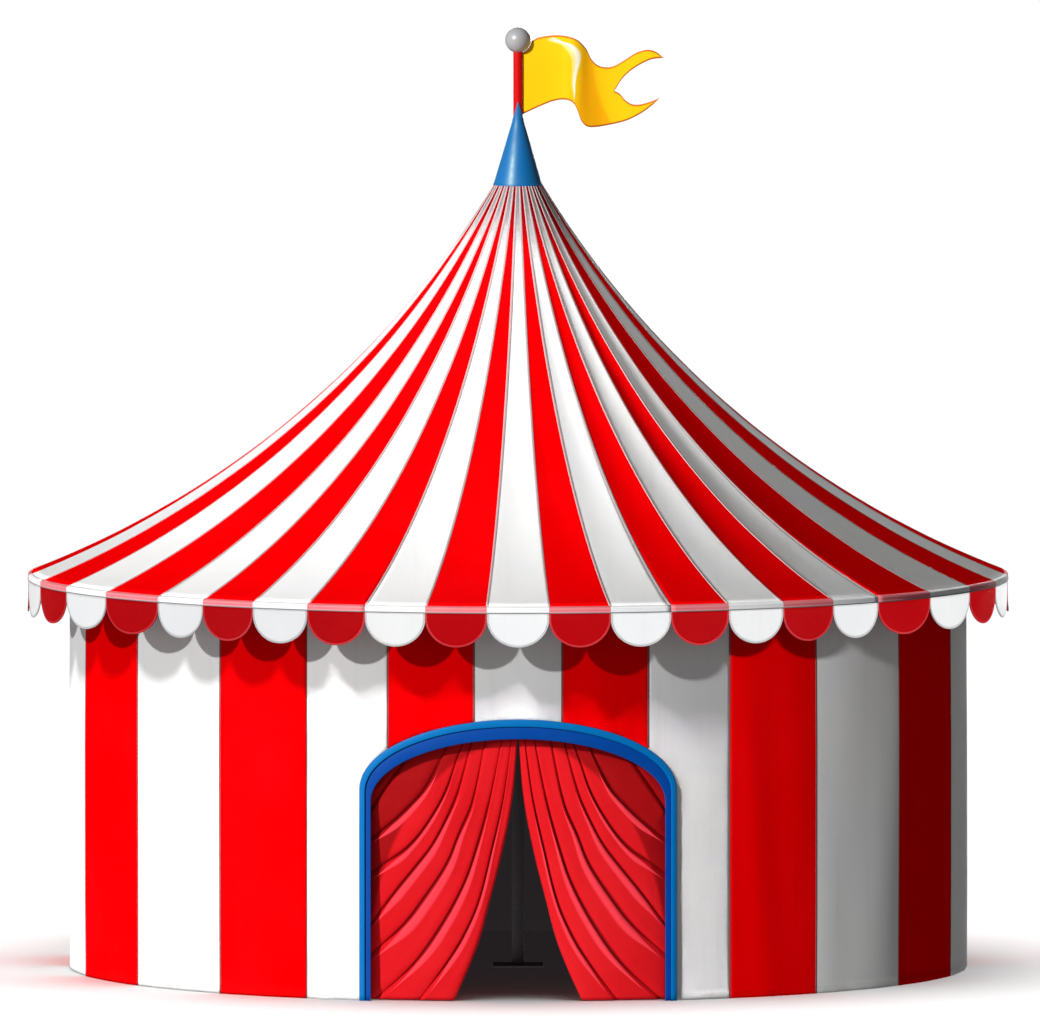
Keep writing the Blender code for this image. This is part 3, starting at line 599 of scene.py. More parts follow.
def grid_faces(bm, rows, uvs, look, closed=False):
    """Faces between rows of vertices; uvs gives each vertex its place on the cloth, look its material."""
    layer = bm.loops.layers.uv.get("cloth") or bm.loops.layers.uv.new("cloth")
    sides = len(rows[0])
    for row in range(len(rows) - 1):
        for column in range(sides if closed else sides - 1):
            cells = ((row, column), (row, column + 1), (row + 1, column + 1), (row + 1, column))
            corners = [rows[r][c % sides] for r, c in cells]
            if None in corners:
                continue
            face = bm.faces.new(corners)
            face.material_index = look(row, column)
            for loop, (r, c) in zip(face.loops, cells):
                loop[layer].uv = uvs(r, c)


def tube_faces(bm, sections, uvs, look=lambda row, side: 0):
    """A closed strip through cross-sections, with its two ends filled."""
    rings = [[bm.verts.new(point) for point in section] for section in sections]
    grid_faces(bm, rings, uvs, look, closed=True)
    bm.faces.new(rings[0][::-1]).material_index = look(0, 0)
    bm.faces.new(rings[-1]).material_index = look(0, 0)


def profile_point(profile, side):
    """A point of a closed profile, whose last side ends at its first point."""
    return profile[side % len(profile)]


def smooth_between(points, x):
    """A smooth curve through points of (x, value)."""
    x = min(max(x, points[0][0]), points[-1][0])

    def slope(i):
        before = points[max(i - 1, 0)]
        after = points[min(i + 1, len(points) - 1)]
        return (after[1] - before[1]) / (after[0] - before[0])

    i = max(k for k in range(len(points) - 1) if points[k][0] <= x)
    (x0, z0), (x1, z1) = points[i], points[i + 1]
    run = x1 - x0
    t = (x - x0) / run
    return (z0 * (2 * t ** 3 - 3 * t ** 2 + 1) + z1 * (3 * t ** 2 - 2 * t ** 3)
            + slope(i) * run * (t ** 3 - 2 * t ** 2 + t) + slope(i + 1) * run * (t ** 3 - t ** 2))


# Canopy: one smooth arc round the plan, with a slight sag in each gore between its seams
def roof_arc_centre():
    eave = Vector((EAVE_RADIUS, EAVE_Z))
    crown = Vector((CAP_RADIUS, CAP_FOOT_Z))
    half = (crown - eave) / 2
    normal = Vector((half.y, -half.x)).normalized()
    return eave + half + normal * math.sqrt(ROOF_ARC_RADIUS ** 2 - half.length_squared)


ROOF_CENTRE = roof_arc_centre()
ROOF_START = math.acos((ROOF_CENTRE.x - EAVE_RADIUS) / ROOF_ARC_RADIUS)
ROOF_END = math.acos((ROOF_CENTRE.x - CANOPY_END_RADIUS) / ROOF_ARC_RADIUS)
ROOF_LENGTH = ROOF_ARC_RADIUS * abs(ROOF_END - ROOF_START)
ROOF_SHARES = [ROOF_FIRST_SHARE + (1 - ROOF_FIRST_SHARE) * row / ROOF_ROWS for row in range(ROOF_ROWS + 1)]


def roof_point(share, offset=0.0):
    """(radius, height) a share of the way up the roof's arc, moved out along its normal."""
    turn = ROOF_START + (ROOF_END - ROOF_START) * share
    reach = ROOF_ARC_RADIUS - offset
    return ROOF_CENTRE.x - reach * math.cos(turn), ROOF_CENTRE.y - reach * math.sin(turn)


def gore_place(angle):
    """The place of a plan angle in gores, counted from the left end of the narrow front ones."""
    front = FRONT_GORES * FRONT_GORE
    turn = (angle + front / 2) % 360
    if turn < front:
        return turn / FRONT_GORE
    return FRONT_GORES + (turn - front) / OTHER_GORE


def gore_offset(angle, share):
    """How far the cloth lies off the arc: sag between seams, and a slow unevenness."""
    across = gore_place(angle) % 1.0
    fullness = max(0.0, math.sin(math.pi * min(share * 1.15, 1.0))) ** 0.7
    turn = math.radians(angle)
    spot = Vector((math.sin(turn) * 3.1, math.cos(turn) * 3.1, share * 4.0))
    uneven = noise.noise(spot * 1.3) * ROOF_UNEVEN + noise.noise(spot * 4.1) * ROOF_FINE_UNEVEN
    return (uneven - GORE_SAG * math.sin(math.pi * across)) * fullness


def roof_vertex(angle, share, lift=0.0):
    radius, z = roof_point(share, gore_offset(angle, share) + lift)
    return plan_point(radius, angle, z)


def column_angles(start, count, gore):
    return [start + gore * column / GORE_COLUMNS for column in range(count * GORE_COLUMNS + 1)]


def build_canopy_section(name, start, count, gore, first):
    """One sheet of the roof; first is the number of its first gore, and even gores are white."""
    bm = bmesh.new()
    angles = column_angles(start, count, gore)
    rows = [[bm.verts.new(roof_vertex(angle, share)) for angle in angles] for share in ROOF_SHARES]

    def place(row, column):
        radius = roof_point(ROOF_SHARES[row])[0]
        return math.radians(angles[column]) * radius, ROOF_SHARES[row] * ROOF_LENGTH

    grid_faces(bm, rows, place, lambda row, column: (first + column // GORE_COLUMNS) % 2)
    sheet = make_piece(f"canopy_cloth_{name}", bm, (canopy_white, canopy_red, lining, lining))
    thicken(sheet, COATED_CLOTH, 2)
    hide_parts(f"canopy_{name}")
    return sheet


def build_roof_seams(name, start, count, gore):
    """Welded tapes over the joints between gores, from the cap down to the hem."""
    bm = bmesh.new()
    for number in range(count):
        angle = start + number * gore
        sections = []
        for share in ROOF_SHARES:
            radius = roof_point(share)[0]
            half = min(SEAM_HALF_WIDTH, 0.2 * math.radians(FRONT_GORE) * radius)
            turn = math.degrees(half / radius)
            middle = plan_point(radius, angle, 0)
            sections.append([roof_vertex(angle, share, lift) + (plan_point(radius, angle + turn * across, 0)
                             - middle) for across, lift in ROOF_TAPE])
        tube_faces(bm, sections, lambda row, side: (ROOF_LENGTH * row / ROOF_ROWS,
                                                    SEAM_HALF_WIDTH * profile_point(ROOF_TAPE, side)[0]))
    return make_piece(f"canopy_seams_{name}", bm, (roof_tape,))


def build_eave_hem(name, start, count, gore, first):
    """The rope pocket round the eave: pale tape over red and white, the pink over red a painted highlight,
    with grey piping at its foot.
    """
    bm = bmesh.new()
    sections = []
    for angle in column_angles(start, count, gore):
        sections.append([plan_point(radius, angle, z) for radius, z in EAVE_HEM])

    def place(row, side):
        z = profile_point(EAVE_HEM, side)[1]
        return math.radians(gore) * EAVE_RADIUS * row / GORE_COLUMNS, z - EAVE_HEM[0][1]

    def colour(row, side):
        if side in EAVE_PIPING_SIDES:
            return 2
        return (first + row // GORE_COLUMNS) % 2

    tube_faces(bm, sections, place, colour)
    return make_piece(f"eave_hem_{name}", bm, (hem_on_white, hem_tape_highlight_on_red, piping))


# Valance: a scallop under each gore, cupped a little and bound along its edge
def scallop_edge(share):
    top = HEM_FOOT_Z - SCALLOP_SIDE
    across = 2 * share - 1
    return top - (top - SCALLOP_BOTTOM_Z) * math.sqrt(max(0.0, 1 - across ** 2))


def rounded_share(step, steps):
    """Shares of a scallop's width, closer together towards its sides."""
    return (1 - math.cos(math.pi * step / steps)) / 2


def valance_radius(angle, z):
    """Outer face of the hanging cloth, which swells a little in the middle of each scallop."""
    number, across = divmod(gore_place(angle), 1.0)
    drop = (HEM_FOOT_Z - z) / (HEM_FOOT_Z - SCALLOP_BOTTOM_Z)
    own = noise.noise(Vector((number * 7.31, 0.5, 2.5)))
    swing = VALANCE_SWING + VALANCE_SWING_CHANGE * own
    ripple = VALANCE_RIPPLE * math.sin(2 * math.pi * across + own * 6.0) * drop
    middle = math.sin(math.pi * across)
    return EAVE_RADIUS - 0.002 + swing * drop * drop * middle + ripple * middle


def build_valance_section(name, start, count, gore, first):
    bm = bmesh.new()
    top = HEM_FOOT_Z - 0.0008
    angles = []
    feet = []
    for column in range(count * SCALLOP_COLUMNS + 1):
        scallop = min(column // SCALLOP_COLUMNS, count - 1)
        share = rounded_share(column - scallop * SCALLOP_COLUMNS, SCALLOP_COLUMNS)
        angles.append(start + (scallop + share) * gore)
        feet.append(scallop_edge(share))

    heights = [[top + (foot - top) * row / SCALLOP_ROWS for foot in feet] for row in range(SCALLOP_ROWS + 1)]
    rows = [[bm.verts.new(plan_point(valance_radius(angle, z), angle, z)) for angle, z in zip(angles, line)]
            for line in heights]
    heights.reverse()
    rows.reverse()

    def place(row, column):
        return math.radians(angles[column]) * EAVE_RADIUS, top - heights[row][column]

    grid_faces(bm, rows, place, lambda row, column: (first + column // SCALLOP_COLUMNS) % 2)
    sheet = make_piece(f"valance_cloth_{name}", bm, (valance_white, valance_red))
    thicken(sheet, COATED_CLOTH)
    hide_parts(f"valance_{name}")
    return sheet


def binding_path(gore):
    """Points (across, height) of a scallop's edge, from one end of its hem round to the other."""
    path = []
    for step in range(BINDING_STEPS + 1):
        share = rounded_share(step, BINDING_STEPS)
        path.append(((share - 0.5) * math.radians(gore) * EAVE_RADIUS, scallop_edge(share)))
    top = HEM_FOOT_Z - 0.001
    return [(path[0][0], top)] + path + [(path[-1][0], top)]


def build_scallop_bindings(name, start, count, gore, first):
    """Tape folded over each scallop's edge."""
    bm = bmesh.new()
    path = binding_path(gore)
    for number in range(count):
        middle = start + (number + 0.5) * gore
        sections = []
        for index, (x, z) in enumerate(path):
            before = path[max(index - 1, 0)]
            after = path[min(index + 1, len(path) - 1)]
            along = Vector((after[0] - before[0], after[1] - before[1])).normalized()
            inward = Vector((-along.y, along.x))
            if inward.y < 0 and abs(inward.x) < 0.9:
                inward = -inward
            base = valance_radius(middle + math.degrees(x / EAVE_RADIUS) * 0.999, z)
            section = []
            for depth, out in SCALLOP_BINDING:
                angle = middle + math.degrees((x + inward.x * depth) / EAVE_RADIUS)
                section.append(plan_point(base + out, angle, z + inward.y * depth))
            sections.append(section)
        tube_faces(bm, sections, lambda row, side: (0.02 * row, profile_point(SCALLOP_BINDING, side)[0]),
                   lambda row, side: (first + number) % 2)
    return make_piece(f"valance_binding_{name}", bm, (binding_grey, binding_red))


# Walls: upright stripes that hang in shallow folds between their welded seams
def arch_height(arch, x):
    """Height of an arch's curve over a distance from its centre line."""
    half_width, spring_z, top_z = arch
    return spring_z + (top_z - spring_z) * math.sqrt(max(0.0, 1 - (x / half_width) ** 2))


def front_distance(angle):
    """Distance of a wall's plan angle from the doorway's centre line, or infinity on the rear half."""
    turn = math.radians(angle)
    return abs(WALL_RADIUS * math.sin(turn)) if math.cos(turn) > 0 else math.inf


def wall_radius(angle, z):
    """Outer face of the wall cloth; the folds die out at the top and round the door frame."""
    turn = math.radians(angle)
    spot = Vector((math.sin(turn) * WALL_RADIUS, math.cos(turn) * WALL_RADIUS, z * 0.16))
    slow = noise.noise(spot * 0.8)
    folds = 0.5 + 0.5 * math.sin(angle * 0.62 + 5.0 * slow)
    fine = 0.5 + 0.5 * noise.noise(Vector((spot.x * 3.1, spot.y * 3.1, z * 0.5)))
    hang = min(1.0, max(0.0, (WALL_FOLD_TOP_Z - z) / 1.6)) * (0.6 + 0.4 * min(1.0, z / 0.8))
    away = abs(((angle + 180) % 360) - 180) / WALL_CLEAR_ANGLE
    clear = 1.0 if away >= 1.25 else max(0.0, (away - 0.9) / 0.35)
    if z > WALL_CLEAR_TOP_Z:
        clear = max(clear, min(1.0, (z - WALL_CLEAR_TOP_Z) / 0.5))
    proud = WALL_HEM_PROUD if z < WALL_HEM_TOP_Z else 0.0
    depth = WALL_FOLD_DEPTH * folds + WALL_FINE_FOLD_DEPTH * fine
    return WALL_RADIUS - 0.0012 + depth * hang * clear + proud


def wall_columns(start, stripes):
    """Plan angles of the columns, with one set on each side of the doorway's jamb."""
    angles = [start]
    for stripe in stripes:
        left = angles[-1]
        angles += [left + stripe * column / STRIPE_COLUMNS for column in range(1, STRIPE_COLUMNS + 1)]
    for jamb in (-JAMB_ANGLE, JAMB_ANGLE):
        if angles[0] < jamb < angles[-1]:
            nearest = min(range(len(angles)), key=lambda i: abs(angles[i] - jamb))
            angles[nearest] = jamb
    return angles


def wall_low_rows():
    """Heights of the rows from the ground to where the doorway's arch springs."""
    heights = list(WALL_HEM_ROWS)
    while heights[-1] + WALL_ROW_STEP < DOORWAY_CUT[1]:
        heights.append(heights[-1] + WALL_ROW_STEP)
    return heights[:-1] + [DOORWAY_CUT[1]]


def build_wall_section(name, start, stripes, first):
    """One sheet of the wall; first is the number of its first stripe, and even stripes are white."""
    bm = bmesh.new()
    angles = wall_columns(start, stripes)
    low_rows = wall_low_rows()
    spring_row = len(low_rows) - 1
    heights = {}
    rows = []
    for row in range(spring_row + 1 + WALL_UPPER_ROWS):
        line = []
        for column, angle in enumerate(angles):
            x = front_distance(angle)
            in_doorway = x < DOORWAY_CUT[0] - 1e-4
            if in_doorway and row < spring_row:
                line.append(None)
                continue
            z = low_rows[min(row, spring_row)]
            if row >= spring_row:
                foot = arch_height(DOORWAY_CUT, x) if in_doorway else z
                z = foot + (WALL_TOP_Z - foot) * (row - spring_row) / WALL_UPPER_ROWS
            heights[(row, column)] = z
            line.append(bm.verts.new(plan_point(wall_radius(angle, z), angle, z)))
        rows.append(line)

    def place(row, column):
        return math.radians(angles[column]) * WALL_RADIUS, heights[(row, column)]

    grid_faces(bm, rows, place, lambda row, column: (first + column // STRIPE_COLUMNS) % 2)
    sheet = make_piece(f"wall_cloth_{name}", bm, (wall_white, wall_red, lining, lining))
    thicken(sheet, COATED_CLOTH, 2)
    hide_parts(f"wall_{name}")
    return sheet


def build_wall_seams(name, start, stripes):
    """Welded tapes over the joints between stripes."""
    bm = bmesh.new()
    turn = math.degrees(WALL_SEAM_HALF_WIDTH / WALL_RADIUS)
    for number in range(len(stripes)):
        angle = start + sum(stripes[:number])
        x = front_distance(angle)
        foot = arch_height(CASING_OUTER, x - 0.012) + 0.004 if x < CASING_OUTER[0] else 0.001
        sections = []
        for row in range(WALL_SEAM_STEPS + 1):
            z = foot + (WALL_TOP_Z - 0.004 - foot) * row / WALL_SEAM_STEPS
            base = wall_radius(angle, z)
            sections.append([plan_point(base + out, angle + turn * across, z) for across, out in WALL_TAPE])
        rise = (WALL_TOP_Z - foot) / WALL_SEAM_STEPS
        tube_faces(bm, sections, lambda row, side: (rise * row,
                                                    WALL_SEAM_HALF_WIDTH * profile_point(WALL_TAPE, side)[0]))
    return make_piece(f"wall_seams_{name}", bm, (wall_tape,))


# Door frame: two steps of painted board bent over the doorway
def arch_path(arch, share):
    """A point (x, z) of an arch: right foot, jamb, curve, jamb, left foot."""
    half_width, spring_z, top_z = arch
    jamb = 0.3
    if share < jamb:
        return half_width, spring_z * share / jamb
    if share > 1 - jamb:
        return -half_width, spring_z * (1 - share) / jamb
    turn = math.pi * (share - jamb) / (1 - 2 * jamb)
    return half_width * math.cos(turn), spring_z + (top_z - spring_z) * math.sin(turn)


def build_frame_band(name, inner_arch, outer_arch, back, front, material):
    bm = bmesh.new()
    edge = front - FRAME_CORNER
    round_edge = front - FRAME_CORNER * 0.3
    step = FRAME_CORNER / (outer_arch[0] - inner_arch[0])
    profile = [(0.0, back), (0.0, edge), (step * 0.3, round_edge), (step, front), (0.5, front + FRAME_CROWN),
               (1 - step, front), (1 - step * 0.3, round_edge), (1.0, edge), (1.0, back)]
    sections = []
    for index in range(FRAME_STEPS + 1):
        inner = Vector(arch_path(inner_arch, index / FRAME_STEPS))
        outer = Vector(arch_path(outer_arch, index / FRAME_STEPS))
        section = []
        for blend, radius in profile:
            x, z = inner.lerp(outer, blend)
            section.append(Vector((x, -math.sqrt(radius ** 2 - x ** 2), z)))
        sections.append(section)
    tube_faces(bm, sections, lambda row, side: (0.07 * row, 0.01 * side))
    return make_piece(name, bm, (material,))


# Curtains: folds sweep from the arch down and out to the jamb; each rises slowly and drops into a deep crease
def fold_line(number, share):
    """A point of a fold's line, a share of its height below its head."""
    line = FOLD_LINES[number]
    head, foot = line[0][1], line[-1][1]
    curve = [((head - z) / (head - foot), x) for x, z in line]
    return Vector((smooth_between(curve, share), head + (foot - head) * share))


def between_folds(place, share):
    """A point between the lines of the two folds beside a place."""
    number = min(int(place), LAST_FOLD - 1)
    return fold_line(number, share).lerp(fold_line(number + 1, share), place - number)


def curtain_foot(place):
    """The cloth's lower boundary: along the hem to the jamb, then up the jamb."""
    corner = CURTAIN_JAMB_X - CURTAIN_EDGE_X
    lengths = [x - CURTAIN_EDGE_X + z - CURTAIN_HEM_Z for x, z in (line[-1] for line in FOLD_LINES)]
    number = min(int(place), LAST_FOLD - 1)
    along = lengths[number] + (lengths[number + 1] - lengths[number]) * (place - number)
    if along < corner:
        return Vector((CURTAIN_EDGE_X + along, CURTAIN_HEM_Z))
    return Vector((CURTAIN_JAMB_X, CURTAIN_HEM_Z + along - corner))


def fold_height(place, share):
    """How far the cloth stands forward, from 0 in a crease to 1 on the ridge beside the next crease."""
    step = place % 1.0
    ridge = 0.62 * (1 - math.exp(-step / 0.09)) + 0.38 * step ** 1.3
    drop = min(1.0, (1 - step) / 0.13)
    ridge *= math.sin(math.pi / 2 * drop) ** 0.8
    gather = min(1.0, 0.35 + share * 1.6) * min(1.0, 0.55 + (1 - share) * 4.0)
    return ridge * gather


def curtain_point(place, share, side):
    """A point on a curtain: place counts folds from the opening edge, share runs from head to foot."""
    flat = between_folds(place, share)
    flat += (curtain_foot(place) - between_folds(place, 1.0)) * share ** 6
    head = between_folds(place, 0.0)
    flat.y += (arch_height(CURTAIN_ARCH, head.x) - head.y) * (1 - share) ** 6
    wrinkle = 0.06 * noise.noise(Vector((place * 2.6, share * 5.0, side * 3.0)))
    forward = min(1.0, max(0.0, fold_height(place, share) + wrinkle))
    radius = CURTAIN_BACK_RADIUS + CURTAIN_PLEAT_DEPTH * forward
    return Vector((side * flat.x, -math.sqrt(radius ** 2 - flat.x ** 2), flat.y))


def curtain_places():
    """Places of the columns, closer together beside the creases, with one on the lower corner."""
    places = []
    for number in range(LAST_FOLD):
        for column in range(PLEAT_COLUMNS):
            places.append(number + 0.5 - 0.5 * math.cos(math.pi * column / PLEAT_COLUMNS))
    places.append(float(LAST_FOLD))
    (hem_x, hem_z), (jamb_x, jamb_z) = [FOLD_LINES[fold][-1] for fold in (LAST_HEM_FOLD, LAST_HEM_FOLD + 1)]
    corner = jamb_x - hem_x
    corner_place = LAST_HEM_FOLD + corner / (corner + jamb_z - hem_z)
    nearest = min(range(len(places)), key=lambda i: abs(places[i] - corner_place))
    places[nearest] = corner_place
    return places


def build_curtain(name, side):
    bm = bmesh.new()
    places = curtain_places()
    shares = [row / CURTAIN_ROWS for row in range(CURTAIN_ROWS + 1)]
    if side > 0:
        shares = shares[::-1]
    rows = [[bm.verts.new(curtain_point(place, share, side)) for place in places] for share in shares]
    grid_faces(bm, rows, lambda row, column: (FOLD_CLOTH * places[column], CURTAIN_HEIGHT * shares[row]),
               lambda row, column: 0)
    sheet = make_piece(f"{name}_cloth", bm, (curtain_red,))
    thicken(sheet, THIN_CLOTH)
    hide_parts(name)
    return sheet


# Crown: cap, ball and flag
CAP_SLOPE = (CAP_TIP_Z - CAP_FOOT_Z) / CAP_RADIUS
CAP_RIM_Z = 7.846
CAP_ROLL_TOP_Z = CAP_RIM_Z + 0.017
CAP_LIP_Z = 7.866
CAP_ROLL = ((-0.007, CAP_LIP_Z), (-0.001, CAP_RIM_Z + 0.0015), (0.0025, CAP_RIM_Z + 0.002),
            (0.0035, CAP_RIM_Z + 0.008), (0.0015, CAP_RIM_Z + 0.014))


def cap_radius(z):
    return (CAP_TIP_Z - z) / CAP_SLOPE


def build_cap():
    """A spun cone with a rolled rim, and a collar that ends in a point up the front and back of the mast."""
    bm = bmesh.new()
    bore = MAST_RADIUS + GAP
    cone_top = CAP_TIP_Z - COLLAR_RADIUS * CAP_SLOPE
    rim = cap_radius(CAP_RIM_Z)
    outer = [(rim + out, z) for out, z in CAP_ROLL]
    for step in range(CAP_RINGS + 1):
        z = CAP_ROLL_TOP_Z + (cone_top - CAP_ROLL_TOP_Z) * step / CAP_RINGS
        outer.append((cap_radius(z), z))
    columns = []
    for index in range(CAP_TURNS):
        turn = 2 * math.pi * index / CAP_TURNS
        top = CAP_TIP_Z - max(0.0, abs(COLLAR_RADIUS * math.sin(turn)) - 0.003) * CAP_SLOPE
        collar = [(COLLAR_RADIUS, cone_top + (top - cone_top) * share) for share in (0.4, 0.75, 0.97)]
        inner = [(COLLAR_RADIUS - 0.0015, top), (bore, top), (bore, cone_top - 0.01),
                 (rim - 0.009, CAP_LIP_Z + 0.003)]
        columns.append([bm.verts.new((r * math.sin(turn), -r * math.cos(turn), z))
                        for r, z in outer + collar + inner])
    for near, far in zip(columns, columns[1:] + columns[:1]):
        for side in range(len(near)):
            up = (side + 1) % len(near)
            bm.faces.new((near[side], far[side], far[up], near[up]))
    bmesh.ops.recalc_face_normals(bm, faces=bm.faces)
    obj = make_piece("cap_shell", bm, (cap_blue,))
    obj.data.set_sharp_from_angle(angle=math.radians(35))
    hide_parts("cap_cone")


def build_ball():
    """Two spun halves with a fine seam, and the flat seat on the mast's top."""
    bm = bmesh.new()
    end = math.pi - math.asin(MAST_RADIUS / BALL_RADIUS)
    top = bm.verts.new((0, 0, BALL_Z + BALL_RADIUS))
    lines = []
    for step in range(1, BALL_RINGS + 1):
        turn = end * step / BALL_RINGS
        seam = BALL_SEAM_DEPTH if abs(turn - math.pi / 2) < end / BALL_RINGS * 0.6 else 0.0
        across = (BALL_RADIUS - seam) * math.sin(turn)
        z = BALL_Z + (BALL_RADIUS - seam) * math.cos(turn)
        lines.append([bm.verts.new(plan_point(across, 360 * index / BALL_TURNS, z))
                      for index in range(BALL_TURNS)])
    for index in range(BALL_TURNS):
        after = (index + 1) % BALL_TURNS
        bm.faces.new((top, lines[0][index], lines[0][after]))
        for low, high in zip(lines[1:], lines):
            bm.faces.new((high[index], low[index], low[after], high[after]))
    bm.faces.new(lines[-1])
    bmesh.ops.recalc_face_normals(bm, faces=bm.faces)
    obj = make_piece("ball_shell", bm, (ball_grey,))
    obj.data.set_sharp_from_angle(angle=math.radians(50))
    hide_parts("ball_finial")


def flag_top_height(x):
    """The upper edge, cut round under the ball beside the mast."""
    clear = BALL_RADIUS + FLAG_BALL_CLEARANCE
    if x < clear:
        return min(BALL_Z - math.sqrt(clear ** 2 - x ** 2), FLAG_TOP[0][1])
    return smooth_between(FLAG_TOP, x)


def flag_edges(x, upper):
    """Lower and upper height of one half of the flag."""
    top = flag_top_height(x)
    bottom = smooth_between(FLAG_BOTTOM, x)
    if x > FLAG_NOTCH[0]:
        middle = smooth_between(FLAG_UPPER_TAIL if upper else FLAG_LOWER_TAIL, x)
    else:
        middle = bottom + (top - bottom) * FLAG_CENTRE_SHARE
    return (middle, top) if upper else (bottom, middle)


def flag_depth(x, z):
    """The cloth swells towards -Y, folds back and comes forward again at the tails."""
    rise = (z - FLAG_LOW_Z) / (FLAG_HIGH_Z - FLAG_LOW_Z)
    low = smooth_between(FLAG_WAVE_LOW, x)
    ripple = FLAG_RIPPLE * min(1.0, (x - FLAG_HOIST_X) / 0.3) * noise.noise(Vector((x * 3.4, z * 2.2, 1.7)))
    return low + (smooth_between(FLAG_WAVE_HIGH, x) - low) * rise + ripple


def flag_column(x, upper):
    """Points (x, z) up one half of the flag, with a row on each side of its hems."""
    low, high = flag_edges(x, upper)
    edge = min(0.45, FLAG_HEM / max(high - low, 1e-4))
    inner = [edge + (1 - 2 * edge) * row / FLAG_HALF_ROWS for row in range(1, FLAG_HALF_ROWS)]
    return [(x, low + (high - low) * share) for share in [0.0, edge, *inner, 1 - edge, 1.0]]


def add_flag_half(bm, upper, tip_x):
    body = [FLAG_HOIST_X + (FLAG_NOTCH[0] - FLAG_HOIST_X) * step / FLAG_BODY_COLUMNS
            for step in range(FLAG_BODY_COLUMNS + 1)]
    tail = [FLAG_NOTCH[0] + (tip_x - FLAG_NOTCH[0]) * step / FLAG_TAIL_COLUMNS
            for step in range(1, FLAG_TAIL_COLUMNS + 1)]
    columns = [flag_column(x, upper) for x in body + tail]
    rows = [[bm.verts.new((x, flag_depth(x, z), z)) for x, z in line] for line in zip(*columns)]
    outer_row, inner_row = (len(rows) - 2, 0) if upper else (0, len(rows) - 2)

    def colour(row, column):
        return int(row == outer_row or (row == inner_row and column >= FLAG_BODY_COLUMNS))

    grid_faces(bm, rows, lambda row, column: columns[column][row], colour)


def build_flag():
    bm = bmesh.new()
    add_flag_half(bm, True, FLAG_TOP[-1][0])
    add_flag_half(bm, False, FLAG_BOTTOM[-1][0])
    bmesh.ops.remove_doubles(bm, verts=bm.verts, dist=1e-4)
    sheet = make_piece("flag_cloth", bm, (flag_yellow, flag_hem))
    thicken(sheet, THIN_CLOTH, offset=0.0)
    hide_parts("flag")
    return sheet


# Canopy and valance round the plan
mean_roof_radius = sum(roof_point(step / 100)[0] for step in range(101)) / 101
start_angle = -CANOPY_SECTIONS[0][1] * FRONT_GORE / 2
gore_number = round(gore_place(start_angle))
for section, gores, gore in CANOPY_SECTIONS:
    canopy = build_canopy_section(section, start_angle, gores, gore, gore_number)
    seams = build_roof_seams(section, start_angle, gores, gore)
    eave_hem = build_eave_hem(section, start_angle, gores, gore, gore_number)
    turn = math.radians(gores * gore)
    width = turn * EAVE_RADIUS
    turn * mean_roof_radius * ROOF_LENGTH
    valance = build_valance_section(section, start_angle, gores, gore, gore_number)
    binding = build_scallop_bindings(section, start_angle, gores, gore, gore_number)
    start_angle += gores * gore
    gore_number += gores

# Walls round the plan; stripe 0 is the white one over the doorway, and the shares are what the arch leaves
OVER_DOOR_FOOT_Z = 2.456
WALL_AREA_SHARES = {"over_door": 0.88, "beside_door_left": 0.86, "beside_door_right": 0.86}
start_angle = -DOOR_PANEL_ANGLE / 2
stripe_number = -2
for section, stripes in WALL_SECTIONS:
    wall = build_wall_section(section, start_angle, stripes, stripe_number)
    seams = build_wall_seams(section, start_angle, stripes)
    width = math.radians(sum(stripes)) * WALL_RADIUS
    length = WALL_TOP_Z - (OVER_DOOR_FOOT_Z if section == "over_door" else 0.0)
    share = WALL_AREA_SHARES.get(section, 1.0)
    width * length * share
    start_angle += sum(stripes)
    stripe_number += len(stripes)

# Doorway
casing = build_frame_band("door_casing", CASING_INNER, CASING_OUTER, CASING_BACK_RADIUS, CASING_FRONT_RADIUS,
                          light_blue)
lining_board = build_frame_band("door_lining", LINING_INNER, LINING_OUTER, LINING_BACK_RADIUS,
                                LINING_FRONT_RADIUS, dark_blue)
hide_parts("door_frame")
for curtain_name, curtain_side in (("curtain_right", 1), ("curtain_left", -1)):
    curtain = build_curtain(curtain_name, curtain_side)

# Crown
build_cap()
build_ball()
flag = build_flag()

# Steel and paint on the pieces kept from the CAD
# The king pole takes the darkened steel, painted shade for the inside of the tent
FINISHES = {"side_pole": steel, "wall_ring": steel, "eave_ring": steel, "crown_hub": steel,
            "king_pole": shaded_steel, "flag_mast": mast_red}
for node in list(frame["nodes"]):
    for start, finish in FINISHES.items():
        if node.startswith(start):
            for slot in bpy.data.objects[node].material_slots:
                slot.material = finish

# Floor
floor_material, floor_shader = start_material("studio_floor")
fill(floor_shader, {"Base Color": (0.92, 0.92, 0.92), "Roughness": 0.9})
floor_mesh = bpy.data.meshes.new("studio_floor")
reach = 400.0
floor_mesh.from_pydata([(-reach, -reach, 0), (reach, -reach, 0), (reach, reach, 0), (-reach, reach, 0)], [],
                       [(0, 1, 2, 3)])
floor_mesh.materials.append(floor_material)
floor = bpy.data.objects.new("studio_floor", floor_mesh)
bpy.context.scene.collection.objects.link(floor)
floor.visible_diffuse = False
floor.visible_glossy = False
floor.visible_shadow = False


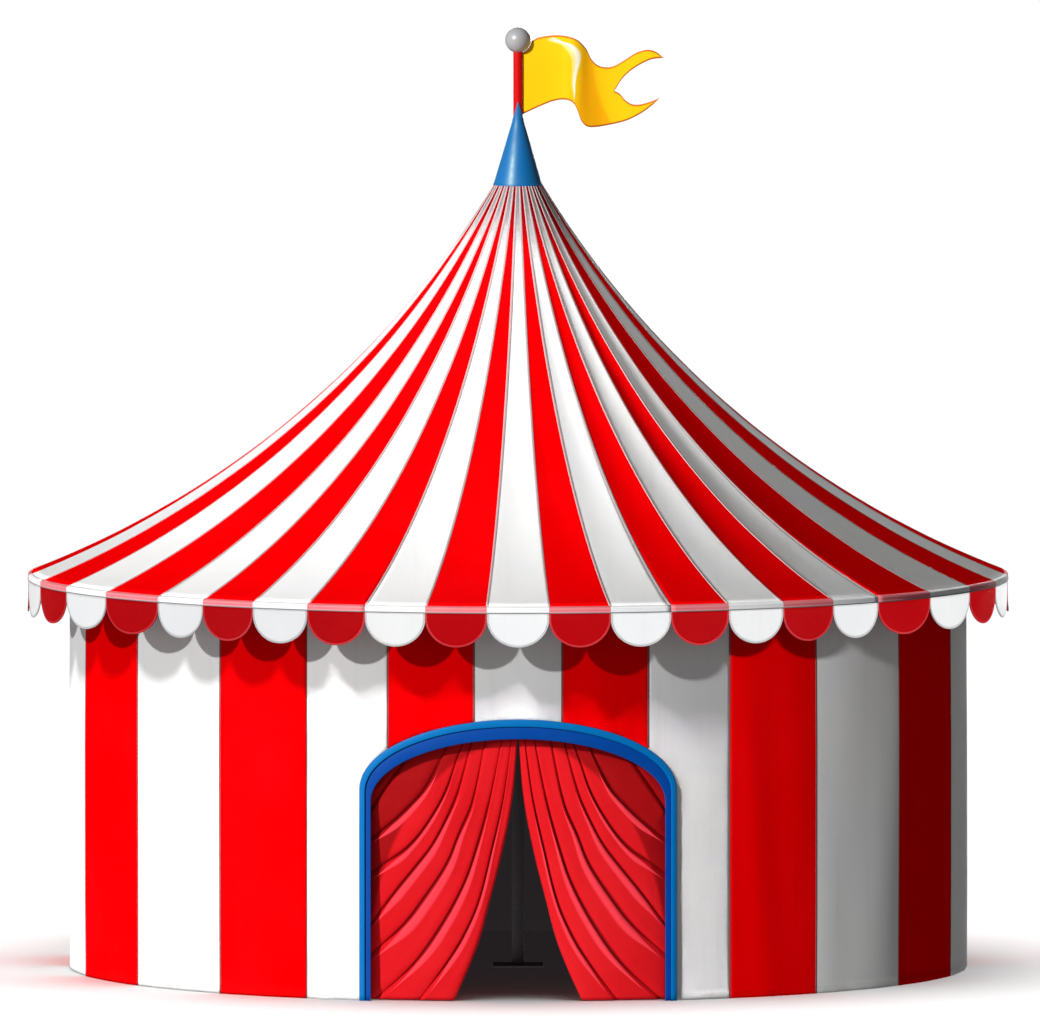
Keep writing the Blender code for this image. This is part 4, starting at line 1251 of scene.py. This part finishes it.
# Lights
def add_sun(name, strength, softness, azimuth, elevation, pieces, leave_out=False):
    """A distant light from a plan angle and a height in degrees, on some pieces alone or on all but them."""
    light = bpy.data.lights.new(name, "SUN")
    light.energy = strength
    light.angle = math.radians(softness)
    lamp = bpy.data.objects.new(name, light)
    bpy.context.scene.collection.objects.link(lamp)
    toward = plan_point(math.cos(math.radians(elevation)), azimuth, math.sin(math.radians(elevation)))
    lamp.rotation_euler = toward.to_track_quat("Z", "Y").to_euler()
    group = bpy.data.collections.new(f"{name}_pieces")
    for piece in pieces:
        group.objects.link(piece)
    lamp.light_linking.receiver_collection = group
    for member in group.collection_objects:
        member.light_linking.link_state = "EXCLUDE" if leave_out else "INCLUDE"


def pieces_named(*starts):
    return [piece for piece in bpy.data.objects if piece.name.startswith(starts)]


roof = pieces_named("canopy_cloth", "canopy_seams")
valances = pieces_named("valance_")
curtains = pieces_named("curtain_")
right_walls = pieces_named("wall_cloth_front_right", "wall_seams_front_right")
door_walls = pieces_named("wall_cloth_over_door", "wall_cloth_beside", "wall_seams_over_door",
                          "wall_seams_beside")
walls = pieces_named("wall_cloth", "wall_seams")
left_walls = [piece for piece in walls if piece not in right_walls + door_walls]
add_sun("key_light", 4.2, 3.0, -39, 23, roof + valances + curtains + walls + [floor], leave_out=True)
add_sun("roof_light", 6.5, 10.0, -40, 1, roof)
add_sun("roof_fill", 0.65, 60.0, 66, 20, roof)
add_sun("valance_light_left", 3.4, 30.0, -58, 8, valances)
add_sun("valance_light_right", 3.7, 30.0, 58, 8, valances)
add_sun("door_wall_light", 1.6, 2.0, -39, 26, door_walls)
add_sun("left_wall_light", 1.6, 2.0, -58, 26, left_walls)
add_sun("high_wall_light", 3.6, 10.0, -39, 50, door_walls + left_walls)
add_sun("right_wall_light", 3.0, 2.0, -32, 12, right_walls)
add_sun("curtain_light", 3.2, 3.0, -39, 23, curtains)
add_sun("curtain_fill", 0.9, 90.0, 0, 10, curtains)
add_sun("back_light", 2.0, 30.0, 172, 4, [floor], leave_out=True)
add_sun("floor_light", 3.45, 50.0, 0, 88, [floor])

# Studio air: lighter low down and on the left, with a white backdrop
AIR_AT_WALLS = 0.28
AIR_AT_CEILING = 0.08
AIR_FROM_LEFT = 1.35
AIR_FROM_RIGHT = 0.45
world = bpy.context.scene.world or bpy.data.worlds.new("studio_air")
bpy.context.scene.world = world
world.use_nodes = True
sky = world.node_tree
across, _, up = split(worked(sky, "ShaderNodeTexCoord", {}, "Generated"))
air = (ramp(up, 0.0, 0.7, AIR_AT_WALLS, AIR_AT_CEILING, "LINEAR")
       * ramp(across, -1.0, 1.0, AIR_FROM_LEFT, AIR_FROM_RIGHT, "LINEAR"))
seen = worked(sky, "ShaderNodeLightPath", {}, "Is Camera Ray")
backdrop = worked(sky, "ShaderNodeMix", {"Factor": seen, "A": air, "B": 1.0}, "Result")
fill(sky.nodes["Background"], {"Strength": backdrop, "Color": (1.0, 1.0, 1.0)})
bpy.context.scene.view_settings.view_transform = "Standard"

# Camera: in front, a little above the horizon, and far off with a long lens
CAMERA_DISTANCE = 400.0
CAMERA_RISE = math.radians(4.0)
CAMERA_SPAN = 10.42
CAMERA_TARGET = (0.0195, 0.0, 4.543)
SENSOR_WIDTH = 36.0
camera_data = bpy.data.cameras.new("camera")
camera_data.sensor_width = SENSOR_WIDTH
camera_data.lens = SENSOR_WIDTH * CAMERA_DISTANCE / CAMERA_SPAN
camera_data.clip_end = 1500.0
camera = bpy.data.objects.new("camera", camera_data)
bpy.context.scene.collection.objects.link(camera)
away = Vector((0.0, -math.cos(CAMERA_RISE), math.sin(CAMERA_RISE)))
camera.location = Vector(CAMERA_TARGET) + CAMERA_DISTANCE * away
camera.rotation_euler = (math.pi / 2 - CAMERA_RISE, 0, 0)
bpy.context.scene.camera = camera
